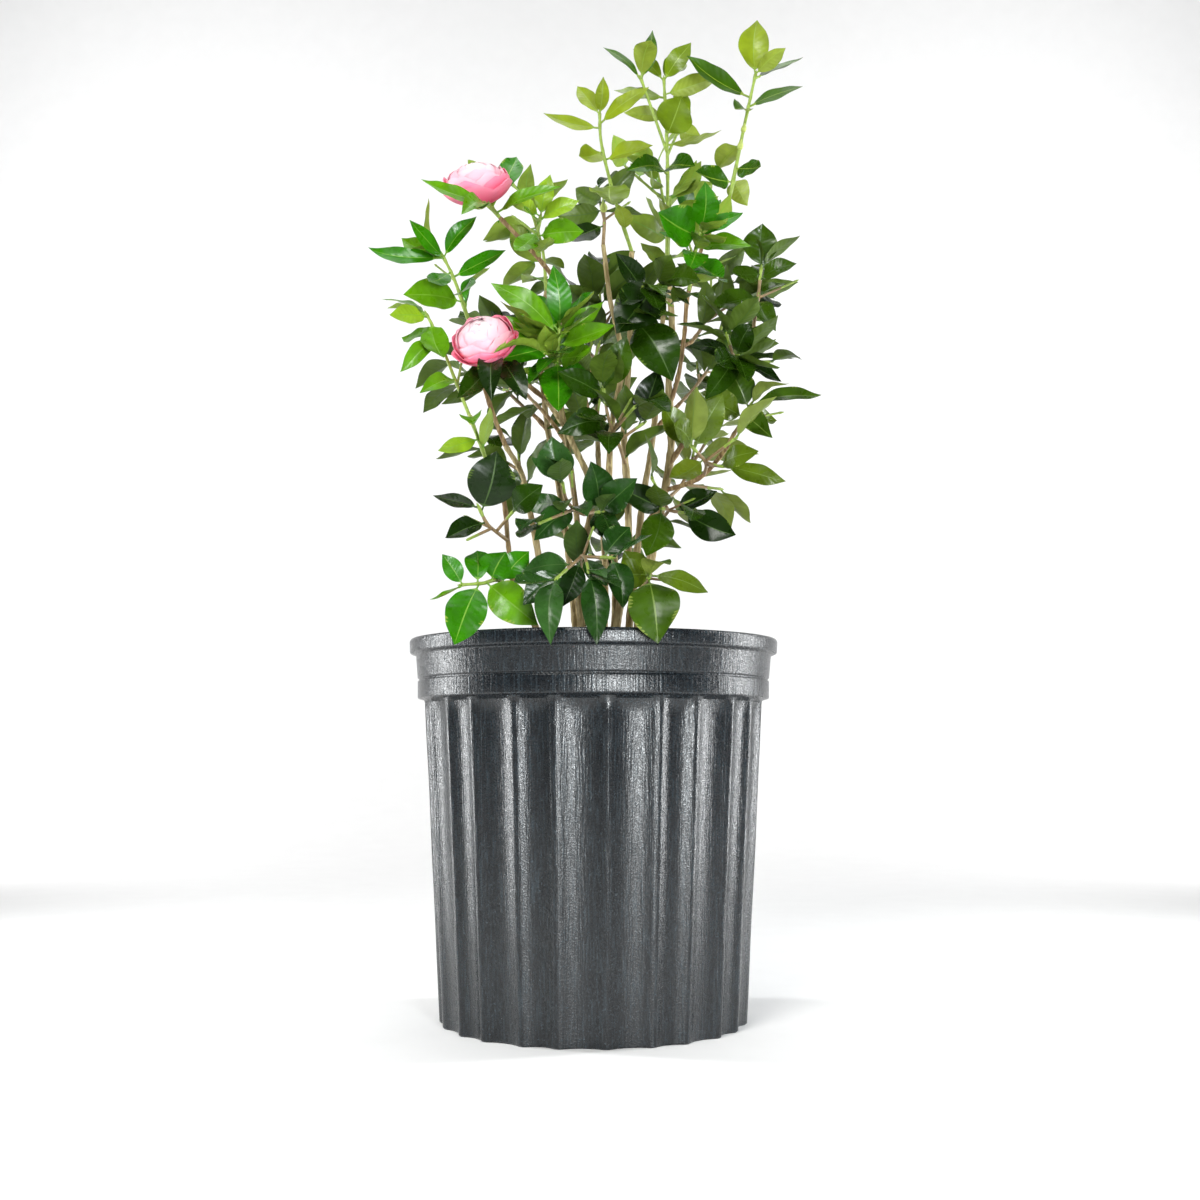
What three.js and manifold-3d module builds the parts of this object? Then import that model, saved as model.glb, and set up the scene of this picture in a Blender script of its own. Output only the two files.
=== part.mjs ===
// Camellia shrub in its fluted nursery container: one group of named, closed solids.
// Millimetres, +Z up. The origin is the centre of the pot's flat underside; -Y is the front.
//
// The pot is filled with potting mix. Ten stems stand on the mix, boughs fork from the stems,
// and every foliage mass grows from one bough or stem by a seeded rule: a woody stem, side
// twigs, and leaves set alternately round them. A leaf that would touch a limb, the pot or
// another leaf is turned, and skipped if no turn clears.

import * as THREE from 'three';
import { mergeVertices } from 'three/addons/utils/BufferGeometryUtils.js';
import Module from 'manifold-3d';

const wasm = await Module();
wasm.setup();

// ---------------------------------------------------------------- driving dimensions

const GAP = 0.3; // clearance between neighbouring solids
const SMALLEST_EDGE = 0.12; // finer edges that joining leaves behind are merged

const POT = {
  height: 305,
  footRadius: 122.7, // over the arrises, at the underside
  bodyTop: 258, // underside of the lower band
  bodyRadius: 137.4, // over the arrises, at the lower band
  fluteTop: 245, // above this the flutes run out under the band
  flutes: 24,
  wideFlute: 16.7, // degrees; wide and narrow flutes alternate
  narrowFlute: 13.3,
  fluteDepth: 4, // below the chord between two arrises
  partingAngle: 4.7, // degrees from the front towards +X
  bandRadius: 143.6,
  bandTop: 293,
  grooveHeight: 272.5,
  grooveDepth: 1.2,
  lipRadius: 150,
  lipWidth: 3.6,
  wall: 2.2, // at the valley of a flute
  floor: 3,
  runOut: { below: 5, out: 0.4, share: 0.55 }, // where the flutes run out under the lower band
  bandFoot: { inset: 1.6, height: 3 }, // rounded foot of the lower band
  grooveHalf: 1.2,
  upperBand: [-0.3, 1.2], // its radius over the lower band's, at its foot and top
  lipFoot: { inset: 0.6, height: 1 },
  lipTop: { inset: 1.6, height: 2.5 },
  bandWall: [3.4, 2], // thickness behind the lower and the upper band
  widening: [4, 6], // where the inside widens, over the flutes' top and the band's foot
};
const COLUMNS_PER_FLUTE = 3;

const MIX = {
  top: 280, edgeTop: 275, flatRadius: 62, gap: 0.6, columns: 36,
  edgeOut: 0.8, // how far its edge stands out over the last inner ring
  slope: { width: 22, drop: 2 }, // its surface falls away towards the wall
};

const LIMB = {
  sides: 5, stemRings: 8, boughRings: 5,
  footRing: 0.04, // place of one more ring, at the flare of a stem
  flare: 0.8, flareHeight: 14,
  clearance: GAP + 0.1,
  rods: 12, // straight pieces that stand for it when leaves are set
};

const TWIG = {
  foot: 2.2, tip: 1.5, side: 1.8, // radii: of a mass's stem, of every tip, of a side twig's foot
  sideLength: [30, 46],
  lean: 50, // degrees between a side twig and its stem
  zone: [0.25, 0.8], // the part of the stem that carries side twigs
  checks: [0.5, 0.75, 1], // places along a side twig that must be clear
  rings: 3,
  stemRods: 6, sideRods: 3,
};

const LEAF = {
  width: 0.44, // of the length
  widest: 0.45, // place of the widest station along the length
  fold: 0.13, // how far the margins rise over the midrib, of the width
  neck: 0.15, // place of the thickest station
  thickness: 1.3, // at the neck, thinning to the tip
  rootDepth: 0.4, // how far the root is sunk past the twig's axis
  spread: 0.16, // scatter of the seeded length about the mean
  lean: [48, 72], // degrees between a leaf and its twig
  turn: 137.5, // degrees from one leaf to the next round the twig
  outward: 0.35, // pull away from the crown's middle
  droop: 0.16,
  tries: 12,
  retry: 150, // degrees turned on at each try
  face: [0.1, 0.65], // how far a seeded blade looks outwards
  first: { stem: 0.12, side: 0.3 }, // place of the first seeded leaf on a stem and a side twig
  end: { place: 0.97, lean: 0.6 }, // leaves past this place stand closer to the twig
  midrib: [0.3, 0.5, 0.7, 0.85, 1], // stations that stand for the leaf, on its midrib
  margin: [0.3, 0.5, 0.75], // and on both margins
  shortestNormal: 0.15,
};

// Clearances of a leaf: from limbs, and from leaves of other masses and of its own mass.
const CLEAR = {
  limb: 2.6, seeded: [7, 4.4], aimed: [4.6, 1.5],
  mixRadius: 139, overMix: 4, // nothing hangs lower than this inside the pot
  besideLip: 2.5, overLip: 1.5, // nor nearer than this to its lip
};

// A blossom's sizes, as shares of its radius. heart: radius and height of the core's outline.
const BLOOM = {
  free: 0.6, // the middle that leaves keep out of
  sunk: 0.3, // how far the heart lies below the centre
  heart: [[0, -0.1], [0.45, 0], [0.78, 0.3], [0.7, 0.62], [0.4, 0.82], [0, 0.88]],
  petals: 8,
  lean: 70, // degrees between a petal and the blossom's axis
  reach: 1.04,
  petalWidth: 0.85,
};
const CROWN_AXIS = [0, 12]; // x and y of the line that the crown stands round

// ---------------------------------------------------------------- limbs
// radius: at the foot and at the tip. points: the axis. from and at: the limb that carries
// it, and the place on that limb, from 0 at its foot to 1 at its tip.

const FOOT = MIX.top + GAP;

const STEMS = [
  { name: 'stem_right', radius: [4.1, 2.3], points: [[34, 0, FOOT], [39, 0, 335], [50, 2, 385],
    [62, 4, 446], [65, 5, 481], [63, 6, 521], [66, 8, 572], [62, 8, 628]] },
  { name: 'stem_front', radius: [3.6, 1.9], points: [[14, -15, FOOT], [20, -15, 324], [28, -14, 368],
    [28, -12, 423], [25, -10, 478], [29, -9, 533], [31, -8, 583], [32, -8, 631]] },
  { name: 'stem_centre', radius: [3.4, 1.8], points: [[14, 9, FOOT], [18, 9, 331], [17, 10, 381],
    [13, 12, 442], [16, 13, 493], [24, 14, 544], [14, 15, 597], [8, 15, 645]] },
  { name: 'stem_bloom', radius: [3.4, 2], points: [[-5, -10, FOOT], [-11, -12, 339], [-8, -14, 378],
    [-2, -16, 412], [-4, -18, 437], [-15, -20, 461], [-23, -24, 478], [-39, -32, 500]] },
  { name: 'stem_left_centre', radius: [3.1, 1.9], points: [[-13, 10, FOOT], [-9, 9, 331], [-12, 8, 376],
    [-15, 8, 416], [-22, 6, 471], [-30, 4, 523], [-29, 2, 576], [-36, 0, 615]] },
  { name: 'stem_left', radius: [3.2, 2], points: [[-30, 0, FOOT], [-40, -3, 330], [-46, -4, 379],
    [-55, -4, 424], [-60, -4, 445], [-73, -5, 467]] },
  { name: 'stem_low_left', radius: [3, 2.1], points: [[-33, -22, FOOT], [-44, -34, 309],
    [-53, -46, 328], [-63, -58, 342]] },
  { name: 'stem_back_right', radius: [3.6, 1.9], points: [[26, 27, FOOT], [33, 32, 348],
    [41, 42, 422], [52, 55, 492], [58, 70, 563], [64, 82, 625]] },
  { name: 'stem_back_left', radius: [3.5, 1.9], points: [[-12, 31, FOOT], [-18, 40, 349],
    [-27, 54, 424], [-40, 66, 494], [-47, 76, 560], [-43, 82, 625]] },
  { name: 'stem_back', radius: [3.3, 1.9], points: [[7, 36, FOOT], [10, 50, 345], [8, 72, 411],
    [4, 92, 473], [2, 106, 530]] },
];

const BOUGHS = [
  { name: 'bough_tall_right', from: 'stem_right', at: 0.657, radius: [1.9, 1.6],
    points: [[71, 3, 528], [76, 2, 561], [80, 0, 600], [96, -2, 649], [115, -4, 681]] },
  { name: 'bough_right', from: 'stem_right', at: 0.45, radius: [2.4, 1.8],
    points: [[78, -2, 475], [95, -6, 504], [114, -12, 532], [131, -16, 556]] },
  { name: 'bough_low_right', from: 'stem_right', at: 0.39, radius: [2, 1.6],
    points: [[75, -6, 434], [91, -16, 441], [106, -24, 458], [115, -30, 473]] },
  { name: 'bough_side_right', from: 'stem_right', at: 0.79, radius: [1.9, 1.6],
    points: [[74, 16, 556], [84, 28, 564]] },
  { name: 'bough_side_left', from: 'stem_left_centre', at: 0.57, radius: [2, 1.6],
    points: [[-34, 18, 490], [-44, 28, 504]] },
  { name: 'bough_left_high', from: 'stem_left', at: 1, radius: [2, 1.7],
    points: [[-87, -8, 503], [-97, -11, 539], [-104, -14, 571]] },
  { name: 'bough_left_low', from: 'stem_low_left', at: 1, radius: [2, 1.7],
    points: [[-67, -60, 377], [-72, -56, 418], [-84, -52, 442]] },
  { name: 'bough_upper_bloom', from: 'stem_left_centre', at: 1, radius: [1.9, 1.7],
    points: [[-47, -6, 627], [-61, -14, 640], [-78, -22, 656]] },
  { name: 'bough_lower_bloom', from: 'stem_bloom', at: 1, radius: [2, 1.8],
    points: [[-56, -42, 512], [-70, -52, 523]] },
  { name: 'bough_back_right', from: 'stem_back_right', at: 0.6, radius: [2.1, 1.7],
    points: [[64, 70, 508], [76, 80, 522]] },
  { name: 'bough_back_low_right', from: 'stem_back_right', at: 0.34, radius: [2.2, 1.7],
    points: [[52, 54, 420], [64, 66, 434]] },
  { name: 'bough_back_left', from: 'stem_back_left', at: 0.6, radius: [2.1, 1.7],
    points: [[-50, 78, 508], [-62, 88, 520]] },
  { name: 'bough_back_low_left', from: 'stem_back_left', at: 0.34, radius: [2.2, 1.7],
    points: [[-37, 62, 418], [-50, 76, 430]] },
  { name: 'bough_back_low', from: 'stem_back', at: 0.3, radius: [2.2, 1.7],
    points: [[11, 72, 366], [12, 86, 373]] },
];

// ---------------------------------------------------------------- foliage masses
// points: the mass's own stem. forks: place on that stem and tip of a side twig.
// aims: the leaves that draw the mass's outline, each as [place, tip x, y, z, width, face].
// A place is a twig's number (0 is the stem) plus how far along it, such as 0.8 or 1.5.
// face runs from 0, the blade lying level, to 1, the blade facing out to the front or back.
// leaves and sideTwigs: how many more the seeded rule sets. length: of the mean leaf.

const FOLIAGE = [
  { name: 'foliage_top', from: 'stem_right', at: 1, seed: 11, leaves: 5, length: 44, tone: 'shoot',
    points: [[63, 8, 700], [62, 6, 743], [60, 4, 787]],
    forks: [[0.5, 40, -12, 780], [0.48, 74, 24, 752]],
    aims: [[0.99, 34, 10, 817, 15, 0.6], [0.99, 83, -2, 817, 18, 0.8], [0.9, 108, 20, 798, 18, 0.5],
      [0.88, 17, -10, 771, 20, 0.6], [0.62, 73, -30, 757, 32, 1], [0.75, 26, 26, 767, 16, 0.4],
      [1.99, 8, -20, 804, 13, 0.5], [1.99, 50, -6, 826, 14, 0.8], [2.9, 94, 34, 748, 16, 0.6],
      [0.36, 27, -30, 693, 20, 0.8], [0.4, 84, -30, 697, 22, 0.9]] },
  { name: 'foliage_tall_right', from: 'bough_tall_right', at: 1, seed: 12, leaves: 1, length: 38,
    tone: 'shoot', points: [[121, -6, 710], [126, -8, 735], [131, -9, 758], [137, -10, 785]],
    aims: [[0.99, 139, -8, 834, 26, 1], [0.97, 178, -4, 803, 18, 0.4], [0.82, 78, -26, 794, 20, 0.7],
      [0.74, 175, -22, 769, 17, 0.6], [0.7, 116, -44, 740, 17, 0.8], [0.2, 138, -34, 695, 20, 0.9],
      [0.1, 84, -36, 690, 22, 0.9], [0.12, 133, 30, 685, 20, 0.6], [0.4, 108, 30, 718, 20, 0.6]] },
  { name: 'foliage_top_left', from: 'stem_front', at: 1, seed: 13, leaves: 2, length: 36,
    tone: 'shoot', points: [[20, -11, 668], [12, -14, 697], [6, -16, 725], [5, -16, 748]],
    aims: [[0.86, -42, -24, 745, 15, 0.7], [0.99, -14, 2, 780, 15, 0.8], [0.99, 8, -34, 772, 12, 0.8],
      [0.9, 46, -30, 765, 17, 0.7], [0.66, -12, -44, 700, 20, 0.9], [0.6, 49, -34, 713, 19, 0.7],
      [0.42, 15, -56, 655, 34, 1]] },
  { name: 'foliage_upper_right', from: 'bough_tall_right', at: 0.6, seed: 14, leaves: 6, length: 44,
    tone: 'bright', points: [[83, -18, 622], [88, -34, 640]],
    aims: [[0.9, 52, -62, 646, 34, 1], [0.99, 90, -60, 672, 22, 0.9], [0.99, 106, -20, 672, 20, 0.7],
      [0.9, 122, -44, 652, 19, 0.6], [0.7, 129, -38, 626, 20, 0.7], [0.5, 104, -62, 592, 22, 0.9],
      [0.6, 76, -72, 596, 22, 0.9]] },
  { name: 'foliage_right', from: 'bough_right', at: 1, seed: 15, leaves: 5, length: 38, tone: 'dark',
    points: [[136, -18, 587], [139, -19, 614]],
    aims: [[0.99, 140, -24, 650, 29, 1], [0.8, 167, -30, 614, 18, 0.7], [0.9, 113, -40, 603, 19, 0.8],
      [0.4, 156, 10, 594, 18, 0.7], [0.5, 147, -48, 552, 18, 0.9], [0.55, 96, -38, 576, 22, 0.8]] },
  { name: 'foliage_mid_right', from: 'bough_right', at: 0.75, seed: 16, leaves: 6, sideTwigs: 1, length: 46,
    tone: 'dark', points: [[115, -34, 531], [115, -52, 531]],
    aims: [[0.7, 161, -56, 527, 18, 0.4], [0.4, 153, -34, 514, 16, 0.5], [0.99, 95, -98, 514, 24, 1],
      [0.99, 124, -84, 548, 20, 0.9], [0.9, 88, -74, 490, 20, 0.9], [0.6, 75, -58, 537, 18, 0.7]] },
  { name: 'foliage_far_right', from: 'bough_low_right', at: 1, seed: 17, leaves: 1, length: 44,
    tone: 'olive', points: [[121, -34, 482], [127, -36, 494]],
    aims: [[0.99, 186, -30, 504, 15, 0.6], [0.9, 110, -40, 524, 24, 1], [0.6, 84, -62, 498, 25, 0.9],
      [0.6, 141, -70, 460, 20, 0.9], [0.8, 152, -6, 488, 20, 0.7]] },
  { name: 'foliage_low_right', from: 'stem_right', at: 0.33, seed: 18, leaves: 4, sideTwigs: 1, length: 46,
    tone: 'dark', points: [[61, -22, 410], [54, -44, 408]],
    forks: [[0.5, 72, -48, 404]],
    aims: [[1.99, 112, -64, 384, 25, 0.9], [0.99, 41, -74, 366, 26, 0.9],
      [1.4, 100, -34, 424, 20, 0.6], [0.8, 18, -64, 424, 22, 0.9]] },
  { name: 'foliage_lower_right', from: 'bough_low_right', at: 0.5, seed: 19, leaves: 2,
    sideTwigs: 1, length: 46, tone: 'olive', points: [[90, -42, 446], [78, -58, 456]],
    forks: [[0.4, 104, -56, 440]],
    aims: [[1.99, 152, -62, 427, 19, 0.7], [1.8, 128, -88, 446, 18, 0.9], [0.9, 102, -72, 494, 25, 1],
      [0.99, 54, -70, 488, 22, 0.9], [0.99, 62, -100, 464, 22, 0.9], [0.6, 60, -62, 430, 20, 0.7]] },
  { name: 'foliage_rim_right', from: 'stem_right', at: 0.14, seed: 20, leaves: 1, length: 46,
    tone: 'olive', points: [[42, -50, 345], [44, -100, 348], [41, -133, 342]],
    aims: [[0.99, 47, -158, 292, 38, 1], [0.8, 86, -118, 333, 18, 0.6], [0.75, 14, -118, 345, 24, 0.8],
      [0.4, 24, -60, 372, 22, 0.9]] },
  { name: 'foliage_side_right', from: 'bough_side_right', at: 1, seed: 21, leaves: 13, length: 44,
    sideTwigs: 2, tone: 'dark', points: [[94, 44, 582], [102, 58, 606], [104, 68, 634]], aims: [] },
  { name: 'foliage_side_left', from: 'bough_side_left', at: 1, seed: 22, leaves: 14, length: 46,
    sideTwigs: 2, tone: 'dark', points: [[-60, 40, 524], [-76, 52, 552], [-86, 60, 584]], aims: [] },
  { name: 'foliage_upper_bloom', from: 'bough_upper_bloom', at: 1, seed: 23, leaves: 1, length: 36,
    tone: 'bright', points: [[-86, -25, 665], [-95, -28, 677]],
    bloom: { centre: [-97, -31, 682], axis: [-0.12, -0.5, 0.86], radius: 27 },
    forks: [[0.1, -88, -56, 656]],
    aims: [[1.99, -138, -68, 671, 15, 0.7], [0.25, -108, 14, 720, 17, 0.8], [0.4, -66, 8, 720, 20, 0.8],
      [0.2, -26, -40, 676, 18, 0.6], [1.6, -104, -84, 636, 18, 0.8]] },
  { name: 'foliage_bloom_shoot', from: 'bough_upper_bloom', at: 0.333, seed: 24, leaves: 2,
    length: 36, tone: 'bright', points: [[-47, -16, 642], [-44, -22, 657]],
    aims: [[0.99, -71, -2, 682, 15, 0.8], [0.8, -56, -60, 650, 15, 0.8], [0.99, -36, -24, 692, 16, 0.9],
      [0.9, -12, -34, 666, 18, 0.7], [0.5, -8, -34, 640, 22, 1], [0.6, -64, -52, 618, 18, 0.9]] },
  { name: 'foliage_lower_bloom', from: 'bough_lower_bloom', at: 1, seed: 25, leaves: 6, length: 44,
    tone: 'dark', points: [[-77, -55, 530], [-86, -60, 538]],
    bloom: { centre: [-87, -64, 541], axis: [-0.2, -0.78, 0.6], radius: 25 },
    aims: [[0.5, -106, -82, 489, 20, 0.8], [0.6, -78, -94, 484, 20, 0.9], [0.4, -110, -30, 510, 20, 0.7],
      [0.3, -52, -84, 487, 20, 0.9]] },
  { name: 'foliage_left', from: 'bough_left_high', at: 1, seed: 26, leaves: 2, length: 44,
    tone: 'bright', points: [[-112, -15, 595], [-118, -16, 610], [-125, -16, 624]],
    aims: [[0.99, -187, -20, 631, 17, 0.7], [0.97, -163, 6, 648, 18, 0.7], [0.99, -97, -24, 656, 15, 0.8],
      [0.95, -150, -44, 646, 15, 0.7], [0.7, -132, -58, 590, 18, 0.9], [0.6, -72, -34, 624, 19, 0.7],
      [0.2, -154, -46, 583, 28, 0.9], [0.3, -94, -62, 588, 20, 0.8]] },
  { name: 'foliage_left_mid', from: 'bough_left_low', at: 1, seed: 27, leaves: 2, length: 42,
    tone: 'bright', points: [[-94, -50, 469], [-108, -46, 504], [-126, -40, 549], [-136, -38, 569]],
    aims: [[0.97, -163, -60, 562, 18, 0.8], [0.9, -118, -72, 524, 22, 0.9], [0.75, -154, -58, 516, 16, 0.7],
      [0.8, -160, -8, 558, 20, 0.6], [0.55, -136, -78, 494, 16, 0.8], [0.2, -122, -70, 450, 16, 0.7],
      [0.3, -92, -92, 466, 18, 0.8]] },
  { name: 'foliage_low_left', from: 'bough_left_low', at: 0.36, seed: 28, leaves: 1, sideTwigs: 1, length: 42,
    tone: 'dark', points: [[-74, -72, 384], [-82, -84, 390], [-88, -90, 402]],
    forks: [[0.4, -62, -90, 398]],
    aims: [[0.9, -74, -98, 444, 38, 1], [0.99, -124, -84, 412, 17, 0.5], [0.7, -112, -104, 376, 18, 0.7],
      [1.99, -38, -108, 416, 22, 0.9]] },
  { name: 'foliage_rim_left', from: 'stem_low_left', at: 0.8, seed: 29, leaves: 1, length: 30,
    tone: 'bright', points: [[-72, -78, 346], [-84, -98, 342], [-99, -106, 340]],
    aims: [[0.72, -102, -130, 293, 31, 1], [0.6, -41, -112, 309, 29, 1], [0.5, -66, -100, 366, 26, 0.9],
      [0.3, -50, -72, 370, 20, 0.9], [0.99, -113, -116, 362, 15, 0.8], [0.75, -90, -76, 370, 20, 0.7]] },
  { name: 'foliage_rim_centre', from: 'stem_bloom', at: 0.19, seed: 30, leaves: 5, length: 42,
    tone: 'blue', points: [[-10, -60, 366], [-6, -110, 360], [-3, -138, 346]],
    forks: [[0.5, -27, -130, 342], [0.6, 14, -126, 358]],
    aims: [[1.99, -30, -160, 291, 21, 1], [0.99, 3, -161, 291, 21, 1], [2.99, 22, -150, 318, 20, 0.9],
      [1.7, -52, -122, 323, 21, 0.9], [1.4, -54, -88, 352, 21, 0.9], [2.7, 28, -106, 384, 22, 0.9],
      [0.3, -24, -76, 326, 20, 0.9]] },
  { name: 'foliage_front_low', from: 'stem_bloom', at: 0.43, seed: 31, leaves: 6, sideTwigs: 1, length: 44,
    tone: 'blue', points: [[-8, -40, 404], [-20, -62, 410], [-24, -72, 424]],
    forks: [[0.35, 6, -66, 402]],
    aims: [[0.99, -32, -86, 458, 29, 1], [1.9, -2, -88, 438, 26, 1], [1.99, 34, -92, 424, 25, 0.9],
      [0.5, -46, -76, 378, 22, 0.9], [1.6, 20, -84, 376, 21, 0.9], [0.7, -58, -60, 410, 18, 0.8]] },
  { name: 'foliage_centre_left', from: 'stem_left_centre', at: 0.73, seed: 32, leaves: 10, length: 46,
    tone: 'bright', points: [[-30, -20, 529], [-29, -45, 533], [-27, -56, 552]],
    aims: [[0.8, -77, -70, 524, 20, 0.8], [0.9, -83, -48, 592, 22, 0.8], [0.95, -60, -30, 586, 20, 0.8],
      [0.99, -32, -72, 599, 20, 1], [0.9, 8, -56, 574, 18, 0.7], [0.8, 17, -80, 548, 18, 0.8],
      [0.6, -3, -88, 524, 22, 0.9], [0.55, -27, -84, 478, 28, 1], [0.3, 2, -50, 506, 20, 0.9]] },
  { name: 'foliage_centre', from: 'stem_front', at: 0.87, seed: 33, leaves: 7, sideTwigs: 1, length: 46,
    tone: 'dark', points: [[42, -30, 588], [54, -52, 590]],
    forks: [[0.3, 34, -60, 556]],
    aims: [[0.99, 18, -80, 541, 40, 1], [1.99, 62, -84, 502, 38, 1],
      [0.5, 18, -56, 614, 20, 0.8], [0.95, 84, -86, 582, 22, 0.8]] },
  { name: 'foliage_upper_centre', from: 'stem_centre', at: 1, seed: 34, leaves: 3, sideTwigs: 1, length: 44,
    tone: 'dark', points: [[9, 12, 665], [8, 8, 680]],
    aims: [[0.4, -24, -10, 640, 20, 0.8], [0.99, -16, 44, 706, 20, 0.8], [0.99, 34, 40, 712, 20, 0.8],
      [0.8, -32, 18, 672, 20, 0.8]] },
  { name: 'foliage_front_mid', from: 'stem_front', at: 0.5, seed: 35, leaves: 8, sideTwigs: 1, length: 48,
    tone: 'dark', points: [[21, -38, 460], [12, -60, 478], [8, -70, 500]],
    forks: [[0.4, 40, -60, 474]],
    aims: [[0.6, -28, -78, 462, 22, 0.9], [0.99, 26, -92, 536, 24, 0.9],
      [0.9, -28, -84, 510, 22, 0.8], [1.8, 52, -70, 516, 24, 0.9], [0.5, 12, -96, 442, 22, 0.9]] },
  { name: 'foliage_inner', from: 'stem_centre', at: 0.52, seed: 44, leaves: 12, length: 48,
    sideTwigs: 2, tone: 'dark', points: [[6, 26, 478], [-4, 40, 504], [-8, 52, 538], [-2, 60, 572]],
    aims: [] },
  { name: 'foliage_back_top', from: 'stem_back_right', at: 1, seed: 36, leaves: 14, length: 48,
    sideTwigs: 3, tone: 'bright', points: [[67, 87, 664], [63, 84, 706], [56, 78, 740]], aims: [] },
  { name: 'foliage_back_upper_left', from: 'stem_back_left', at: 1, seed: 37, leaves: 10, length: 48,
    sideTwigs: 2, tone: 'bright', points: [[-46, 87, 662], [-55, 86, 698]], aims: [] },
  { name: 'foliage_back_centre', from: 'stem_back', at: 1, seed: 38, leaves: 18, length: 54,
    sideTwigs: 3, tone: 'dark', points: [[2, 118, 572], [6, 122, 612], [4, 118, 648]], aims: [] },
  { name: 'foliage_back_right', from: 'bough_back_right', at: 1, seed: 39, leaves: 15, length: 52,
    sideTwigs: 2, tone: 'dark', points: [[92, 94, 542], [108, 104, 568], [116, 108, 600]], aims: [] },
  { name: 'foliage_back_low_right', from: 'bough_back_low_right', at: 1, seed: 40, leaves: 12,
    length: 48, sideTwigs: 2, tone: 'olive', points: [[76, 84, 448], [86, 100, 468], [92, 112, 494]],
    aims: [] },
  { name: 'foliage_back_left', from: 'bough_back_left', at: 1, seed: 41, leaves: 12, length: 52,
    sideTwigs: 2, tone: 'dark', points: [[-80, 98, 540], [-94, 106, 566], [-102, 108, 598]], aims: [] },
  { name: 'foliage_back_low_left', from: 'bough_back_low_left', at: 1, seed: 42, leaves: 12,
    length: 48, sideTwigs: 2, tone: 'dark', points: [[-58, 92, 444], [-66, 108, 466], [-70, 120, 492]],
    aims: [] },
  { name: 'foliage_back_low', from: 'bough_back_low', at: 1, seed: 43, leaves: 10, length: 50,
    sideTwigs: 2, tone: 'dark', points: [[12, 102, 382], [16, 120, 396], [16, 134, 418]], aims: [] },
];

const COLOURS = {
  pot: { color: 0x2c3036, roughness: 0.45, metalness: 0 },
  mix: { color: 0x2b1712, roughness: 1, metalness: 0 },
  bark: { color: 0x8a7458, roughness: 0.85, metalness: 0 },
  shoot: { color: 0x7fae3a, roughness: 0.45, metalness: 0 },
  bright: { color: 0x4b8a2c, roughness: 0.4, metalness: 0 },
  dark: { color: 0x1f4a22, roughness: 0.35, metalness: 0 },
  olive: { color: 0x5a6b2c, roughness: 0.45, metalness: 0 },
  blue: { color: 0x24493a, roughness: 0.35, metalness: 0 },
};

// ---------------------------------------------------------------- closed solids

// One closed surface: welded, without its zero faces, and facing outwards.
function weld(geometry) {
  const bare = geometry.clone();
  bare.deleteAttribute('normal');
  bare.deleteAttribute('uv');
  const welded = mergeVertices(bare, 1e-4);
  const index = welded.getIndex().array;
  const faces = [];
  for (let i = 0; i < index.length; i += 3) {
    const [a, b, c] = [index[i], index[i + 1], index[i + 2]];
    if (a !== b && b !== c && c !== a) faces.push(a, b, c);
  }
  if (volumeOf(welded.getAttribute('position'), faces) < 0) faces.reverse();
  welded.setIndex(faces);
  return welded;
}

function volumeOf(position, faces) {
  const [a, b, c] = [new THREE.Vector3(), new THREE.Vector3(), new THREE.Vector3()];
  let six = 0;
  for (let i = 0; i < faces.length; i += 3) {
    a.fromBufferAttribute(position, faces[i]);
    b.fromBufferAttribute(position, faces[i + 1]);
    c.fromBufferAttribute(position, faces[i + 2]);
    six += a.dot(b.cross(c));
  }
  return six / 6;
}

function geometryFrom(points, faces) {
  const geometry = new THREE.BufferGeometry();
  const numbers = points.flatMap((p) => [p.x, p.y, p.z]);
  geometry.setAttribute('position', new THREE.Float32BufferAttribute(numbers, 3));
  geometry.setIndex(faces);
  return geometry;
}

function toManifold(geometry) {
  const welded = weld(geometry);
  return new wasm.Manifold(new wasm.Mesh({
    numProp: 3,
    vertProperties: Float32Array.from(welded.getAttribute('position').array),
    triVerts: Uint32Array.from(welded.getIndex().array),
  }));
}

// The largest body of a joined or cut solid; loose scraps and sealed hollows are dropped.
function toGeometry(manifold) {
  const bodies = manifold.simplify(SMALLEST_EDGE).decompose();
  bodies.sort((a, b) => b.volume() - a.volume());
  const mesh = bodies[0].getMesh();
  const geometry = new THREE.BufferGeometry();
  geometry.setAttribute('position', new THREE.BufferAttribute(mesh.vertProperties, 3));
  geometry.setIndex(new THREE.BufferAttribute(mesh.triVerts, 1));
  return geometry;
}

// ---------------------------------------------------------------- pot and potting mix

function fluteWidth(flute) {
  const fromParting = flute < POT.flutes / 2 ? flute : POT.flutes - 1 - flute;
  return fromParting % 2 === 0 ? POT.wideFlute : POT.narrowFlute;
}

// Angle of each column, its place across its flute, and half of that flute's width.
function fluteColumns() {
  const columns = [];
  let arris = POT.partingAngle;
  for (let flute = 0; flute < POT.flutes; flute += 1) {
    const width = fluteWidth(flute);
    for (let step = 0; step < COLUMNS_PER_FLUTE; step += 1) {
      const across = step / COLUMNS_PER_FLUTE;
      columns.push({ angle: arris + width * across, across, half: width / 2 });
    }
    arris += width;
  }
  return columns;
}

// Radius in a flute: the chord between its arrises, less a hollow that is deepest midway.
function flutedRadius(radius, column) {
  const half = THREE.MathUtils.degToRad(column.half);
  const offset = (column.across * 2 - 1) * half;
  const chord = (radius * Math.cos(half)) / Math.cos(offset);
  return chord - POT.fluteDepth * (1 - (column.across * 2 - 1) ** 2);
}

const arrisRadius = (z) => THREE.MathUtils.mapLinear(z, 0, POT.bodyTop, POT.footRadius, POT.bodyRadius);

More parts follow.
